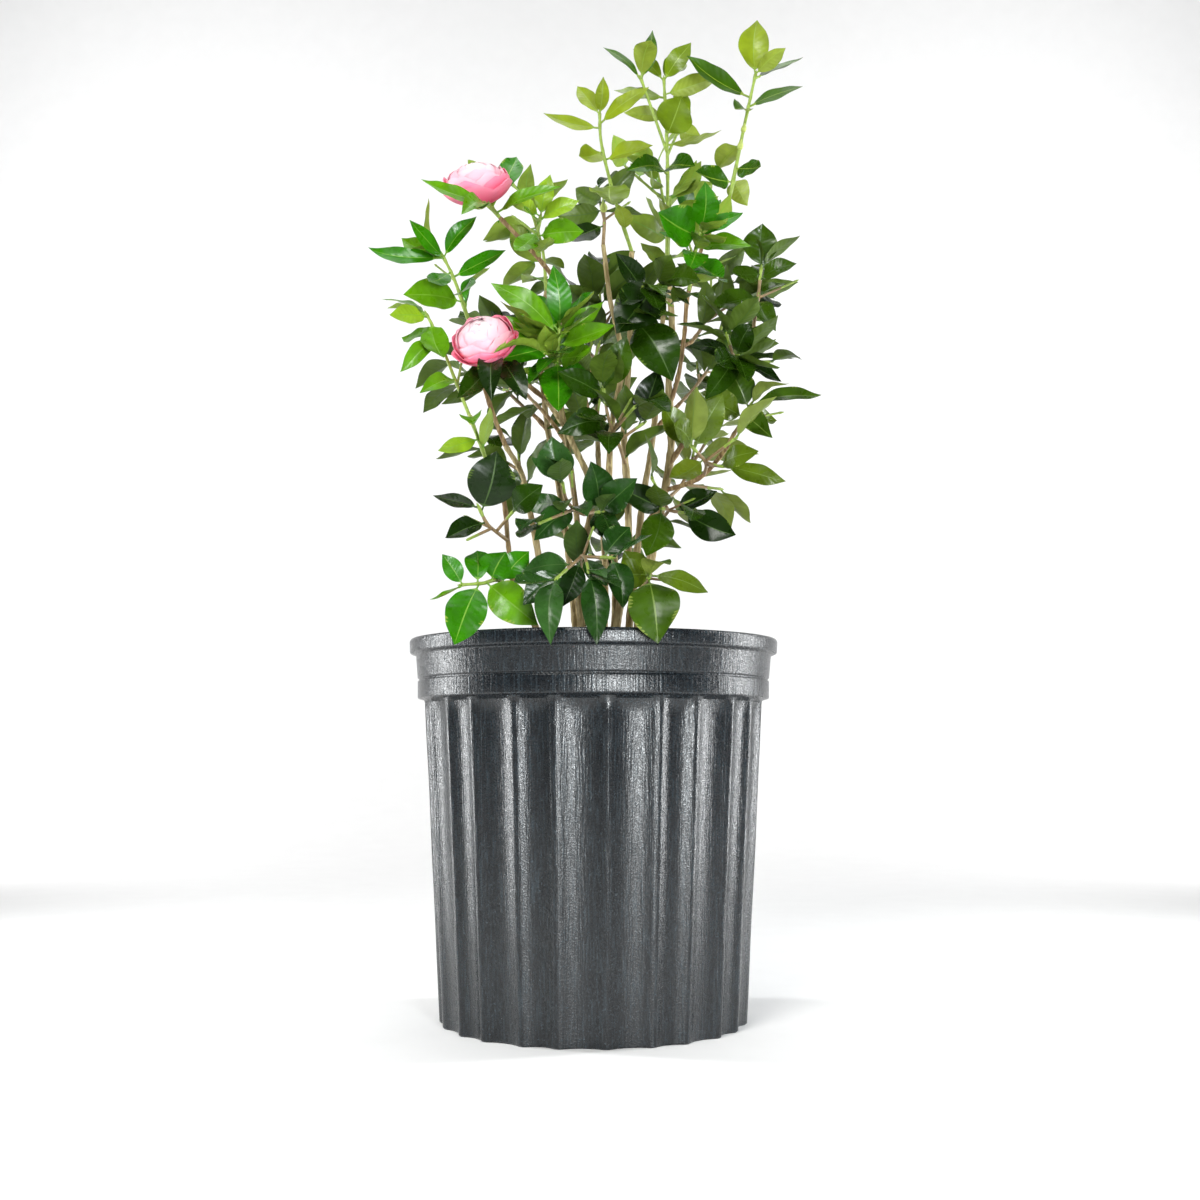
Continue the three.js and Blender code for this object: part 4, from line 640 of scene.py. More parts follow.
def add_leaf(shape, leaf, random, looks):
    """looks: the numbers of the upper side, the lower side and the midrib."""
    upper, lower, rib = looks
    foot, tip, normal = leaf["foot"], leaf["tip"], leaf["normal"]
    length, along = np.linalg.norm(tip - foot), unit(tip - foot)
    side = np.cross(along, normal)
    fold = lerp(*BLADE["fold"], random())
    arch = lerp(*BLADE["arch"], random()) * length
    twist = math.radians(lerp(*BLADE["twist"], random()))
    bow = (random() - 0.5) * BLADE["bow"] * length
    curl = BLADE["curl"] * random() * length
    phase, waves = PHASE * random(), lerp(*BLADE["waves"], random())
    petiole, stations = BLADE["petiole"], BLADE["stations"]
    shares = [*BLADE["petiole_stations"], *(lerp(petiole, 1, (i + 1) / stations) for i in range(stations))]
    rings, ring_looks, places = [], [], []
    inner = COLUMNS[1:-1]
    gaps = len(COLUMNS) - 1
    blade_looks = [rib if k in (RIB, gaps + RIB) else upper if k < gaps else lower for k in range(2 * gaps)]
    for s in shares:
        t = max(0, (s - petiole) / (1 - petiole))
        stalk = BLADE["petiole_half"] * max(0, 1 - t * 6)
        half = max(blade_half(t, leaf["width"]), stalk, BLADE["tip_half"])
        rise = arch * math.sin(math.pi * s) - curl * (s ** 3 - s ** 8)
        turn = twist * (t - BLADE["twist_from"])
        across = side * math.cos(turn) + normal * math.sin(turn)
        up = normal * math.cos(turn) - side * math.sin(turn)
        centre = lerp(foot, tip, s) + normal * rise + side * bow * math.sin(math.pi * s)
        thick = BLADE["thickness"] * lerp(*BLADE["thick"], min(1, t * 1.5)) / 2
        if t <= 0:
            thick = BLADE["petiole_thick"]

        def height(u):
            cup = fold * half * abs(u) ** BLADE["cup"]
            offset = phase + (BLADE["wave_offset"] if u > 0 else 0)
            ripple = BLADE["wave"] * half * u * u * math.sin(waves * PHASE * t + offset)
            return (cup + ripple) * min(1, t * 5)

        top = [centre + across * half * u + up * (height(u) + thick * (1 - abs(u) ** 3)) for u in COLUMNS]
        keel = [thick * (BLADE["keel"] - t if abs(u) < 0.1 else 1 - abs(u) ** 3) for u in inner]
        bottom = [centre + across * half * u + up * (height(u) - k) for u, k in zip(inner, keel)]
        rings.append(np.array(top + bottom[::-1]))
        places += [(t, u) for u in COLUMNS] + [(t, u) for u in inner[::-1]]
        ring_looks.append(blade_looks if t > 0 else rib)
    shape.add_rings(rings, ring_looks[:-1], places=places)


# ------------------------------------------------------------------ twigs and buds

TWIG_LOOK = dict(slim=0.74, slim_fine=0.592, sides=8, spacing=4, swell=0.34, swell_length=2.4, most=1.3)
BUD = dict(tip=(5.5, 1.1), tip_sunk=1.5, axil=(2.8, 0.8), axil_lean=0.7, axil_every=4, sides=8,
           profile=((0, 0.5), (0.12, 0.85), (0.35, 1), (0.6, 0.8), (0.82, 0.42), (1, 0.06)))
# Flower buds: on which twig of the mass, at what place on it, length and radius.
FLOWER_BUDS = {
    "foliage_upper_centre": [(0, 0.75, 10, 3.4)], "foliage_left_mid": [(0, 0.3, 10, 3.2)],
    "foliage_tall_right": [(0, 0.35, 9, 2.8), (0, 0.5, 8, 2.5)],
    "foliage_upper_right": [(0, 1, 12, 4.4)],
}


def add_bud(shape, foot, along, length, radius, look):
    side = square_to(along)
    other = np.cross(along, side)
    rings = [ring_at(foot + along * length * h, side, other, np.full(BUD["sides"], radius * r))
             for h, r in BUD["profile"]]
    shape.add_rings(rings, look)


def beside(axis, place, lean):
    """A direction that leans off an axis to one side."""
    tangent = axis.tangent(place)
    return unit(tangent + square_to(tangent) * lean)


def add_twig(shape, twig, look_at):
    axis, length = twig.axis, twig.axis.length()
    slim = TWIG_LOOK["slim_fine" if twig.fine else "slim"]

    def radius_at(u):
        swell = sum(math.exp(-(((u - n) * length / TWIG_LOOK["swell_length"]) ** 2)) for n in twig.nodes)
        return twig.radius_at(u) * slim + TWIG_LOOK["swell"] * min(TWIG_LOOK["most"], swell)

    tube(shape, axis, radius_at, TWIG_LOOK["sides"], TWIG_LOOK["spacing"], look_at)
    tangent = axis.tangent(1)
    add_bud(shape, axis.at(1) - tangent * BUD["tip_sunk"], tangent, *BUD["tip"], BUD_LOOK)
    for place in twig.nodes[::BUD["axil_every"]]:
        along = beside(axis, place, BUD["axil_lean"])
        add_bud(shape, axis.at(place) + along * 0.8, along, *BUD["axil"], BUD_LOOK)


# ------------------------------------------------------------------ limbs with bark

BARK = dict(sides=18, spacing=2.2, ridge=0.16, knot=0.34, knot_every=23, knot_length=2.4, sunk=3,
            coarse=(1.6, 0.06, 1.2), fine=(5, 0.3, 0.6))  # across, along and share of the ridges


def bark_relief(seed):
    """Ridges that run along the limb, and rings at old leaf scars."""

    def rough(distance, radii):
        turns = 2 * math.pi * np.arange(len(radii)) / len(radii)
        ridge = np.zeros(len(radii))
        for (across, along, share), start in ((BARK["coarse"], seed * 7.7), (BARK["fine"], seed)):
            ridge += [share * noise.noise(Vector((math.cos(turn) * across, math.sin(turn) * across,
                                                  distance * along + start))) for turn in turns]
        step = distance + 5 * math.sin(seed * 3.1)
        near = abs((step % BARK["knot_every"]) - BARK["knot_every"] / 2)
        knot = BARK["knot"] * math.exp(-((near / BARK["knot_length"]) ** 2))
        return radii * (1 + BARK["ridge"] * ridge) + knot

    return rough


def make_limbs(limbs, specs, name, material):
    shape = Shape()
    for number, spec in enumerate(specs):
        limb = limbs[spec["name"]]
        axis = limb.axis
        if not limb.carrier:
            sunk = axis.points[0] - np.array((0, 0, BARK["sunk"]))
            axis = Axis([sunk, *axis.points])
        rough = bark_relief(number + 1)
        tube(shape, axis, limb.radius_at, BARK["sides"], BARK["spacing"], lambda u: 0, rough)
    shape.make(name, "bark", [material], [spec["name"] for spec in specs])


# ------------------------------------------------------------------ blossoms

# From the outside in: petals, radius of the shell they lie on, height of their tips on it in
# degrees, half their width, flare of the tip, lift of the shell, and shade.
WHORLS = [
    (5, 1.0, 4, 0.74, 0.14, 0, 0), (5, 0.96, 20, 0.72, 0.08, 0, 0), (5, 0.91, 34, 0.7, 0.03, 0.01, 1),
    (4, 0.85, 48, 0.72, 0, 0.04, 1), (4, 0.77, 61, 0.64, 0, 0.09, 2), (3, 0.66, 73, 0.66, 0, 0.15, 2),
    (3, 0.52, 78, 0.56, 0, 0.24, 3), (3, 0.36, 82, 0.44, 0, 0.34, 3), (2, 0.2, 80, 0.3, 0, 0.43, 3),
]
PETAL = dict(stations=13, columns=13, thickness=0.4, foot=-70, squash=0.68, widest=0.58,
             narrowest=0.35, notch=4, notch_from=0.8, droop=7, ruffle=0.045, lean=0.06, end=0.34,
             steepest=0.42, broadest=1.4, tip_swing=9, wobble=3, step=0.37)
# Sizes as shares of the blossom's radius.
HEART = dict(rise=0.05, length=0.52, radius=0.36, look=3)
SEPAL = dict(count=5, lean=62, foot=0.9, length=0.26, radius=0.16, look=4)


def add_petal(shape, frame_of, whorl, turn, random):
    """A broad petal curled over a squashed shell; frame_of: centre, sides, axis and radius."""
    centre, side, other, up, size = frame_of
    _, shell, top, span, flare, lift, look = whorl
    radius = size * shell * (0.99 + 0.02 * random())
    top += PETAL["tip_swing"] * (random() - 0.5)
    lean, wave = PETAL["lean"] * (random() - 0.5), PETAL["ruffle"] * random()
    phase = PHASE * random()
    rings, places = [], []
    for s in np.linspace(0, 1, PETAL["stations"]):
        width = lerp(PETAL["narrowest"], 1, math.sin(math.pi / 2 * min(1, s / PETAL["widest"])))
        if s > PETAL["widest"]:
            past = (s - PETAL["widest"]) / (1 - PETAL["widest"])
            width = math.sqrt(max(PETAL["end"] ** 2, 1 - past ** 2.6))
        outer, inner = [], []
        for u in np.linspace(-1, 1, PETAL["columns"]):
            at_tip = max(0, s - PETAL["notch_from"]) / (1 - PETAL["notch_from"])
            notch = PETAL["notch"] * at_tip * (1 - abs(u)) ** 2
            crest = top - notch + PETAL["wobble"] * s * math.sin(2.6 * u + phase)
            height = math.radians(lerp(PETAL["foot"], crest, s) - PETAL["droop"] * u * u * s)
            across = span * width / (shell * max(PETAL["steepest"], math.cos(height)))
            around = turn + min(PETAL["broadest"], across) * u
            reach = 1 + flare * s * s + wave * math.sin(3 * u + phase) * s + lean * u * s
            flat = math.cos(height) * reach
            for face, depth in ((outer, 0.5), (inner, -0.5)):
                r = radius + PETAL["thickness"] * depth * (1 - 0.9 * abs(u) ** 3)
                face.append(centre + (side * math.cos(around) + other * math.sin(around)) * r * flat
                            + up * (r * PETAL["squash"] * math.sin(height) * reach + lift * size))
        rings.append(np.array(outer + inner[::-1]))
        places += [(s, u) for u in np.linspace(-1, 1, 2 * PETAL["columns"])]
    shape.add_rings(rings, look, places=places)


def add_bloom(shape, bloom, random):
    up = unit(np.array(bloom["axis"], float))
    radius, centre = bloom["radius"], np.array(bloom["centre"], float)
    side = square_to(up)
    frame_of = (centre, side, np.cross(up, side), up, radius)
    for number, whorl in enumerate(WHORLS):
        for i in range(whorl[0]):
            turn = 2 * math.pi * (i + 0.5 * (number % 2) + 0.2 * (random() - 0.5)) / whorl[0]
            add_petal(shape, frame_of, whorl, turn + number * PETAL["step"], random)
    heart = centre + up * radius * HEART["rise"]
    add_bud(shape, heart, up, radius * HEART["length"], radius * HEART["radius"], HEART["look"])
    foot = centre - up * radius * PETAL["squash"] * SEPAL["foot"]
    for k in range(SEPAL["count"]):
        sepal = leaning(-up, math.radians(SEPAL["lean"]), 2 * math.pi * k / SEPAL["count"])
        add_bud(shape, foot, sepal, radius * SEPAL["length"], radius * SEPAL["radius"], SEPAL["look"])


# ------------------------------------------------------------------ pot and potting mix

FLUTE_COLUMNS = 18
BODY_ROWS = 40
HOLLOW = dict(edge=0.86, curve=2.4)  # where a flute's hollow begins, from its middle at 0 to its arris at 1
SEAM = dict(rise=0.45, half_width=0.006, nick=(54, 62), nick_half=0.02, nick_depth=0.9)
DENTS = dict(depth=0.35, round=2.2, along=0.018)
CORNER = 1.1  # radius of the bands' corners
INSIDE = 3.4  # from the band's outside to the pot's inside
POT_SHARP = 28  # degrees


def flute_columns():
    """Angle of each column, its place across its flute, and half of that flute's width."""
    columns, arris = [], POT["parting_angle"]
    for flute in range(POT["flutes"]):
        from_parting = min(flute, POT["flutes"] - 1 - flute)
        width = POT["narrow_flute"] if from_parting % 2 else POT["wide_flute"]
        for step in range(FLUTE_COLUMNS):
            across = step / FLUTE_COLUMNS
            columns.append((math.radians(arris + width * across), across, math.radians(width / 2)))
        arris += width
    return columns


def fluted_radius(radius, across, half):
    chord = radius * math.cos(half) / math.cos((across * 2 - 1) * half)
    hollow = max(0, 1 - (abs(across * 2 - 1) / HOLLOW["edge"]) ** HOLLOW["curve"])
    return chord - POT["flute_depth"] * hollow


def arris_radius(z):
    return lerp(POT["foot_radius"], POT["body_radius"], z / POT["body_top"])


def valley_radius(z):
    """Radius of the outer wall at the middle of a wide flute."""
    return fluted_radius(arris_radius(z), 0.5, math.radians(POT["wide_flute"] / 2))


def rounded(points, radius, pieces=4):
    """A profile with its corners rounded: points are (radius, height)."""
    points = [np.array(p, float) for p in points]
    out = [points[0]]
    for a, b, c in zip(points, points[1:], points[2:]):
        reach = min(radius, 0.45 * np.linalg.norm(a - b), 0.45 * np.linalg.norm(c - b))
        p, q = b + unit(a - b) * reach, b + unit(c - b) * reach
        out += [(1 - t) ** 2 * p + 2 * t * (1 - t) * b + t * t * q for t in np.linspace(0, 1, pieces)]
    return out + [points[-1]]


def make_pot(material):
    band, lip = POT["band_radius"], POT["lip_radius"]
    body_top, groove = POT["body_top"], POT["groove_height"]
    rows = [(0, 0, 0), (POT["foot_radius"] - 9, 0, 1), (POT["foot_radius"] - 1.2, 0, 1)]
    for i in range(BODY_ROWS + 1):
        z = lerp(1.2, body_top - 4, (i / BODY_ROWS) ** 0.8)
        run_out = max(0, (z - POT["flute_top"]) / (body_top - POT["flute_top"]))
        rows.append((arris_radius(z), z, 1 - 0.75 * run_out ** 2))
    bands = rounded([
        (POT["body_radius"] + 0.4, body_top - 2), (band - 0.6, body_top - 0.6),
        (band - 0.4, groove - 1.4), (band - 1.6, groove - 0.6), (band - 1.6, groove + 0.4),
        (band - 0.4, groove + 1.2), (band + 1.2, POT["band_top"] - 0.6),
        (lip - 0.4, POT["band_top"] + 0.8), (lip, POT["height"] - 2), (lip - 1.4, POT["height"]),
        (lip - POT["lip_width"], POT["height"] - 0.3), (lip - POT["lip_width"] - 1.6, POT["band_top"]),
        (band - INSIDE, body_top + 6), (valley_radius(POT["flute_top"]) - POT["wall"], POT["flute_top"] + 4),
        (valley_radius(POT["floor"]) - POT["wall"], POT["floor"]),
    ], CORNER)
    rows += [(r, z, 0) for r, z in bands] + [(0, POT["floor"], 0)]
    rings = []
    for radius, z, flute in rows:
        ring = []
        for angle, across, half in flute_columns():
            r = radius + flute * (fluted_radius(radius, across, half) - radius) if radius else 0
            if z > 0 and (radius > band - INSIDE + 0.4 or flute > 0):
                r += seam(angle, z) + dents(angle, z)
            ring.append((r * math.sin(angle), -r * math.cos(angle), z))
        rings.append(ring)
    shape = Shape()
    shape.add_rings(rings, 0, caps=False)
    shape.make("pot_shell", "pot", [material], ["pot"], sharp=POT_SHARP)


def seam(angle, z):
    """The parting line's thin raised seam, in front and behind, with a nick low in front."""
    front = math.radians(POT["parting_angle"])
    off = min(abs(angle - front), abs(angle - front - math.pi), abs(angle - front - 2 * math.pi))
    rise = SEAM["rise"] * math.exp(-((off / SEAM["half_width"]) ** 2))
    if off < SEAM["nick_half"] and SEAM["nick"][0] < z < SEAM["nick"][1]:
        rise -= SEAM["nick_depth"]
    return rise * (0.6 + 0.4 * noise.noise(Vector((0, 0, z * 0.12))))


def dents(angle, z):
    """Slight unevenness of a blown wall."""
    across = DENTS["round"]
    p = Vector((math.sin(angle) * across, math.cos(angle) * across, z * DENTS["along"]))
    return DENTS["depth"] * noise.noise(p)


CRUMBS = dict(count=1500, perlite=110, size=(1.4, 5.2), perlite_size=(1.2, 3.2), seed=900, sunk=0.12)
SURFACE = dict(columns=180, rings=60, slope=5, curve=1.4, sunk=0.8, skirt=265,
               lumps=((0.06, 0, 1.3), (0.3, 5, 0.8)))  # fineness, slice and height of the lumps


def mix_height(x, y):
    r = math.hypot(x, y)
    slope = max(0, (r - MIX["flat_radius"]) / (POT["band_radius"] - MIX["flat_radius"]))
    lumps = sum(high * noise.noise(Vector((x * fine, y * fine, z))) for fine, z, high in SURFACE["lumps"])
    return MIX["top"] - SURFACE["slope"] * slope ** SURFACE["curve"] + lumps - SURFACE["sunk"]


def make_mix(materials):
    """A rough surface of potting mix with bark crumbs and perlite lying on it."""
    shape = Shape()
    edge = POT["band_radius"] - INSIDE - MIX["wall_gap"]
    foot, floor = valley_radius(POT["floor"]) - POT["wall"] - 1, POT["floor"] + 1
    turns = 2 * math.pi * np.arange(SURFACE["columns"]) / SURFACE["columns"]
    below = [(1, floor), (foot, floor), (foot + 13, POT["flute_top"]), (edge - 1, SURFACE["skirt"])]
    rings = [[(radius * math.cos(a), radius * math.sin(a), z) for a in turns] for radius, z in below]
    for radius in np.linspace(edge, 1, SURFACE["rings"]):
        spots = [(radius * math.cos(a), radius * math.sin(a)) for a in turns]
        rings.append([(x, y, mix_height(x, y)) for x, y in spots])
    shape.add_rings(rings, 0)
    random = seeded_numbers(CRUMBS["seed"])
    for number in range(CRUMBS["count"] + CRUMBS["perlite"]):
        white = number >= CRUMBS["count"]
        a, r = 2 * math.pi * random(), (edge - 4) * math.sqrt(random())
        x, y = r * math.cos(a), r * math.sin(a)
        size = lerp(*CRUMBS["perlite_size" if white else "size"], random() ** 2)
        centre = np.array((x, y, mix_height(x, y) + size * CRUMBS["sunk"]))
        add_crumb(shape, centre, size, 2 if white else int(random() * 2), random)
    shape.make("potting_mix_surface", "potting_mix", materials, ["potting_mix"], smooth=False)


def add_crumb(shape, centre, size, look, random):
    """A small angular lump: an octahedron with moved corners."""
    stretch = np.array((1 + random(), 0.7 + 0.5 * random(), 0.45 + 0.4 * random())) * size / 2
    turn = PHASE * random()
    c, s = math.cos(turn), math.sin(turn)
    corners = np.array([(1, 0, 0), (0, 1, 0), (-1, 0, 0), (0, -1, 0), (0, 0, 1), (0, 0, -1)], float)
    corners *= stretch * (0.75 + 0.5 * random())
    corners += (np.array([random() for _ in range(corners.size)]).reshape(-1, 3) - 0.5) * size * 0.3
    spun = corners @ np.array(((c, s, 0), (-s, c, 0), (0, 0, 1)))
    faces = [[0, 1, 4], [1, 2, 4], [2, 3, 4], [3, 0, 4], [1, 0, 5], [2, 1, 5], [3, 2, 5], [0, 3, 5]]
    shape.add(centre + spun, faces, look)


# ------------------------------------------------------------------ materials


class Nodes:
    """A material's node tree, with short calls for the nodes used here."""

    def __init__(self, name, **values):
        self.material = bpy.data.materials.new(name)
        self.material.use_nodes = True
        self.tree = self.material.node_tree
        self.shader = self.tree.nodes["Principled BSDF"]
        for key, value in values.items():
            self.shader.inputs[key.replace("_", " ")].default_value = value
        self.place = self.add("TexCoord", "Object", {})

    def add(self, kind, output, inputs, **settings):
        """A node's output; its inputs take a constant or another node's output."""
        node = self.tree.nodes.new("ShaderNode" + kind)
        for key, value in settings.items():
            setattr(node, key, value)
        for key, value in inputs.items():
            if isinstance(value, bpy.types.NodeSocket):
                self.tree.links.new(value, node.inputs[key])
            else:
                node.inputs[key].default_value = value
        return node.outputs[output]

    def noise(self, scale, detail=4, stretch=None, distortion=0):
        place = self.add("Mapping", 0, {"Vector": self.place, "Scale": stretch}) if stretch else self.place
        return self.add("TexNoise", "Fac", {"Scale": scale, "Detail": detail, "Distortion": distortion,
                                            "Vector": place})

    def spread(self, value, low, high, to_low=0.0, to_high=1.0):
        return self.add("MapRange", 0, {"Value": value, "From Min": low, "From Max": high,
                                        "To Min": to_low, "To Max": to_high})

    def blend(self, fac, a, b):
        ends = {6 + i: (*c, 1) if isinstance(c, tuple) else c for i, c in enumerate((a, b))}
        return self.add("Mix", 2, {"Factor": fac, **ends}, data_type="RGBA")

    def maths(self, operation, *values):
        return self.add("Math", 0, dict(enumerate(values)), operation=operation)

    def bump(self, height, strength, distance, after=None):
        normal = {} if after is None else {"Normal": after}
        return self.add("Bump", 0, {"Strength": strength, "Distance": distance, "Height": height, **normal})

    def blade(self):
        """How far along a blade a point is, and how far across it."""
        vector = self.add("Attribute", "Vector", {}, attribute_name="blade")
        parts = self.add("SeparateXYZ", 0, {"Vector": vector}).node
        return parts.outputs["X"], parts.outputs["Y"]

    def done(self, colour, roughness, normal):
        for socket, value in (("Base Color", colour), ("Roughness", roughness), ("Normal", normal)):
            if value is not None:
                self.tree.links.new(value, self.shader.inputs[socket])
        return self.material


def shaded(colour, share):
    return tuple(min(1, c * share) for c in colour)


VEIN = dict(slant=-0.16, per_blade=56.0, depth=0.0004)


def leaf_material(name, colour, gloss, relief=0.2):
    """A waxy blade: slight mottling, side veins as relief, and a soft sheen."""
    n = Nodes(name, Roughness=gloss, Coat_Weight=0.08, Coat_Roughness=0.12, Specular_IOR_Level=0.22)
    tint = n.blend(n.spread(n.noise(70, 3), 0.35, 0.65), shaded(colour, 0.82), shaded(colour, 1.16))
    rough = n.spread(n.noise(160, 2), 0.3, 0.7, gloss - 0.06, gloss + 0.1)
    along, across = n.blade()
    slant = n.maths("MULTIPLY_ADD", n.maths("ABSOLUTE", across), VEIN["slant"], along)
    wave = n.maths("SINE", n.maths("MULTIPLY", slant, VEIN["per_blade"]))
    quilt = n.bump(n.spread(wave, -1, 1), relief, VEIN["depth"])
    return n.done(tint, rough, n.bump(n.noise(900, 2), 0.12, 0.0002, quilt))


def plain_material(name, colour, roughness, scale=220, strength=0.3, distance=0.0004, swing=0.2):
    n = Nodes(name, Roughness=roughness)
    mottle = n.spread(n.noise(scale, 4), 0.3, 0.7)
    tint = n.blend(mottle, shaded(colour, 1 - swing), shaded(colour, 1 + swing))
    rough = n.spread(n.noise(scale * 1.7, 2), 0.3, 0.7, roughness - 0.08, roughness + 0.08)
    return n.done(tint, rough, n.bump(n.noise(scale * 2.5, 4), strength, distance))


def bark_material(name, colour, dark):
    """Bark with long cracks darkened where the relief sinks them, partly their own colour and partly painted
    shade; pale flakes and fine grain.
    """
    n = Nodes(name, Roughness=0.78, Specular_IOR_Level=0.3)
    streak = n.noise(420, 5, (1, 1, 0.16), 0.6)
    blotch = n.noise(60, 3)
    base = n.blend(n.spread(blotch, 0.38, 0.66), shaded(colour, 0.78), shaded(colour, 1.2))
    # Darker where the crack relief is lowest: partly the cracks' own colour, partly painted shade in them.
    tint = n.blend(n.spread(streak, 0.46, 0.6), dark, base)
    rough = n.spread(blotch, 0.3, 0.7, 0.66, 0.88)
    relief = n.bump(streak, 0.6, 0.0006)
    return n.done(tint, rough, n.bump(n.noise(1500, 3), 0.3, 0.0002, relief))


def pot_material():
    """Blown nursery-pot plastic: blue-black, with a grained sheen, faint streaks, and pale specks painted in
    as glints.
    """
    n = Nodes("pot_plastic", Specular_IOR_Level=0.62)
    streak = n.noise(800, 2, (1, 1, 0.016))
    patch = n.noise(24, 3, (1, 1, 0.3))
    grain_and_glint = n.noise(820, 2)
    base = n.blend(n.spread(streak, 0.5, 0.7), (0.0022, 0.0034, 0.0052), (0.017, 0.025, 0.031))
    # Pale specks in the base colour: painted glints where the grain would catch the lamps.
    base = n.blend(n.spread(grain_and_glint, 0.58, 0.74), base, (0.05, 0.068, 0.08))
    rough = n.spread(grain_and_glint, 0.36, 0.66, 0.4, 0.15)
    relief = n.bump(streak, 0.65, 0.0005)
    relief = n.bump(grain_and_glint, 0.4, 0.0005, relief)
    return n.done(base, rough, n.bump(patch, 0.2, 0.0014, relief))


# Three shades of the upper side, dealt out by spray, then the lower side, midrib and gloss.
LEAF_TONES = {
    "shoot": (((0.125, 0.2, 0.004), (0.035, 0.1, 0.001), (0.19, 0.26, 0.008)),
              (0.215, 0.285, 0.025), (0.2, 0.3, 0.025), 0.34),
    "bright": (((0.028, 0.17, 0.001), (0.09, 0.25, 0.003), (0.2, 0.34, 0.014)),
               (0.2, 0.3, 0.03), (0.14, 0.31, 0.02), 0.28),
    "dark": (((0.013, 0.04, 0.001), (0.03, 0.072, 0.002), (0.006, 0.02, 0.001)),
             (0.065, 0.115, 0.01), (0.034, 0.08, 0.006), 0.24),
    "olive": (((0.075, 0.125, 0.005), (0.035, 0.08, 0.003), (0.12, 0.17, 0.01)),
              (0.15, 0.2, 0.03), (0.11, 0.18, 0.02), 0.28),
    "blue": (((0.016, 0.058, 0.008), (0.01, 0.04, 0.004), (0.026, 0.08, 0.014)),
             (0.07, 0.13, 0.025), (0.04, 0.1, 0.014), 0.24),
}
TWIG_TONES = {"green": (0.24, 0.34, 0.05), "brown": (0.25, 0.17, 0.08), "bud": (0.22, 0.32, 0.04),
              "flower_bud": (0.42, 0.5, 0.11)}
GREEN, BROWN, BUD_LOOK, FLOWER_LOOK = range(len(TWIG_TONES))
# Each shade of petal at its foot and at its tip, from the outer whorls to the heart; then the sepals.
PINKS = [((0.93, 0.05, 0.16), (0.98, 0.26, 0.39)), ((0.96, 0.17, 0.29), (1, 0.5, 0.6)),
         ((0.98, 0.3, 0.42), (1, 0.66, 0.74)), ((0.99, 0.44, 0.54), (1, 0.85, 0.88)),
         ((0.2, 0.27, 0.04), (0.3, 0.36, 0.08))]
OLD = dict(tone="shoot", below=0.41, colour=(0.024, 0.085, 0.002), gloss=0.26)  # leaves at a shoot's foot
LARGEST_PIECE = 180000  # triangles
MARGIN = 60  # degrees between two faces, from which their edge is sharp: a blade's margin
FINE_SEEDS, LEAF_SEEDS, BLOOM_SEEDS = 100, 500, 700  # added to a mass's seed


def make_leaves(masses):
    """The leaves, joined by tone into pieces of bounded size."""
    for tone, (uppers, lower, rib, gloss) in LEAF_TONES.items():
        materials = [leaf_material(f"leaf_{tone}_upper_{i + 1}", upper, gloss + 0.02 * i)
                     for i, upper in enumerate(uppers)]
        materials += [leaf_material(f"leaf_{tone}_lower", lower, 0.5, 0.3),
                      plain_material(f"leaf_{tone}_rib", rib, 0.4, swing=0.08)]
        if tone == OLD["tone"]:
            materials.append(leaf_material(f"leaf_{tone}_old", OLD["colour"], OLD["gloss"]))
        chosen = [mass for mass in masses if mass.tone == tone]
        part, shape, names = 1, Shape(), []
        for mass in chosen:
            random = seeded_numbers(mass.spec["seed"] + LEAF_SEEDS)
            for leaf in mass.leaves:
                shade = (mass.twigs.index(leaf["twig"]) + mass.number + int(random() * 1.5)) % 3
                at_foot = leaf["twig"] is mass.twigs[0] and leaf["place"] < OLD["below"]
                upper = 5 if tone == OLD["tone"] and at_foot else shade
                add_leaf(shape, leaf, random, (upper, 3, 4))
            names.append(mass.name)
            if len(shape.faces) * 2 > LARGEST_PIECE or mass is chosen[-1]:
                shape.make(f"leaves_{tone}_{part}", "leaves", materials, names, sharp=MARGIN)
                part, shape, names = part + 1, Shape(), []


def make_twigs(masses):
    """Twigs are green where they are young, and brown from their foot where they are older."""
    shape = Shape()
    materials = [plain_material(f"twig_{key}", value, 0.5, 300) for key, value in TWIG_TONES.items()]
    for mass in masses:
        for number, twig in enumerate(mass.twigs):
            green_from = 0.0 if mass.tone in ("shoot", "bright") else 0.6 if number else 0.8
            add_twig(shape, twig, lambda u, start=green_from: GREEN if u >= start else BROWN)
        for number, place, length, radius in FLOWER_BUDS.get(mass.name, ()):
            axis = mass.twigs[number].axis
            add_bud(shape, axis.at(place), beside(axis, place, 0.8), length, radius, FLOWER_LOOK)
    shape.make("twigs_and_buds", "bark", materials)


def make_blossom(masses):
    shape = Shape()
    materials = [petal_material(f"petal_{i}", *pair) for i, pair in enumerate(PINKS)]
    for mass in masses:
        if mass.name in BLOOMS:
            add_bloom(shape, BLOOMS[mass.name], seeded_numbers(mass.spec["seed"] + BLOOM_SEEDS))
    shape.make("blossom_petals", "blossom", materials, sharp=MARGIN)


def petal_material(name, foot, tip):
    """A petal: soft, deeper towards its foot, with light passing through it."""
    n = Nodes(name, Roughness=0.5, Subsurface_Weight=0.3, Subsurface_Scale=0.003,
              Subsurface_Radius=(1, 0.8, 0.85))
    along, _ = n.blade()
    tint = n.blend(n.spread(along, 0.35, 0.95), foot, tip)
    return n.done(tint, None, n.bump(n.noise(400, 2), 0.1, 0.0002))


# ------------------------------------------------------------------ stage, lights and camera

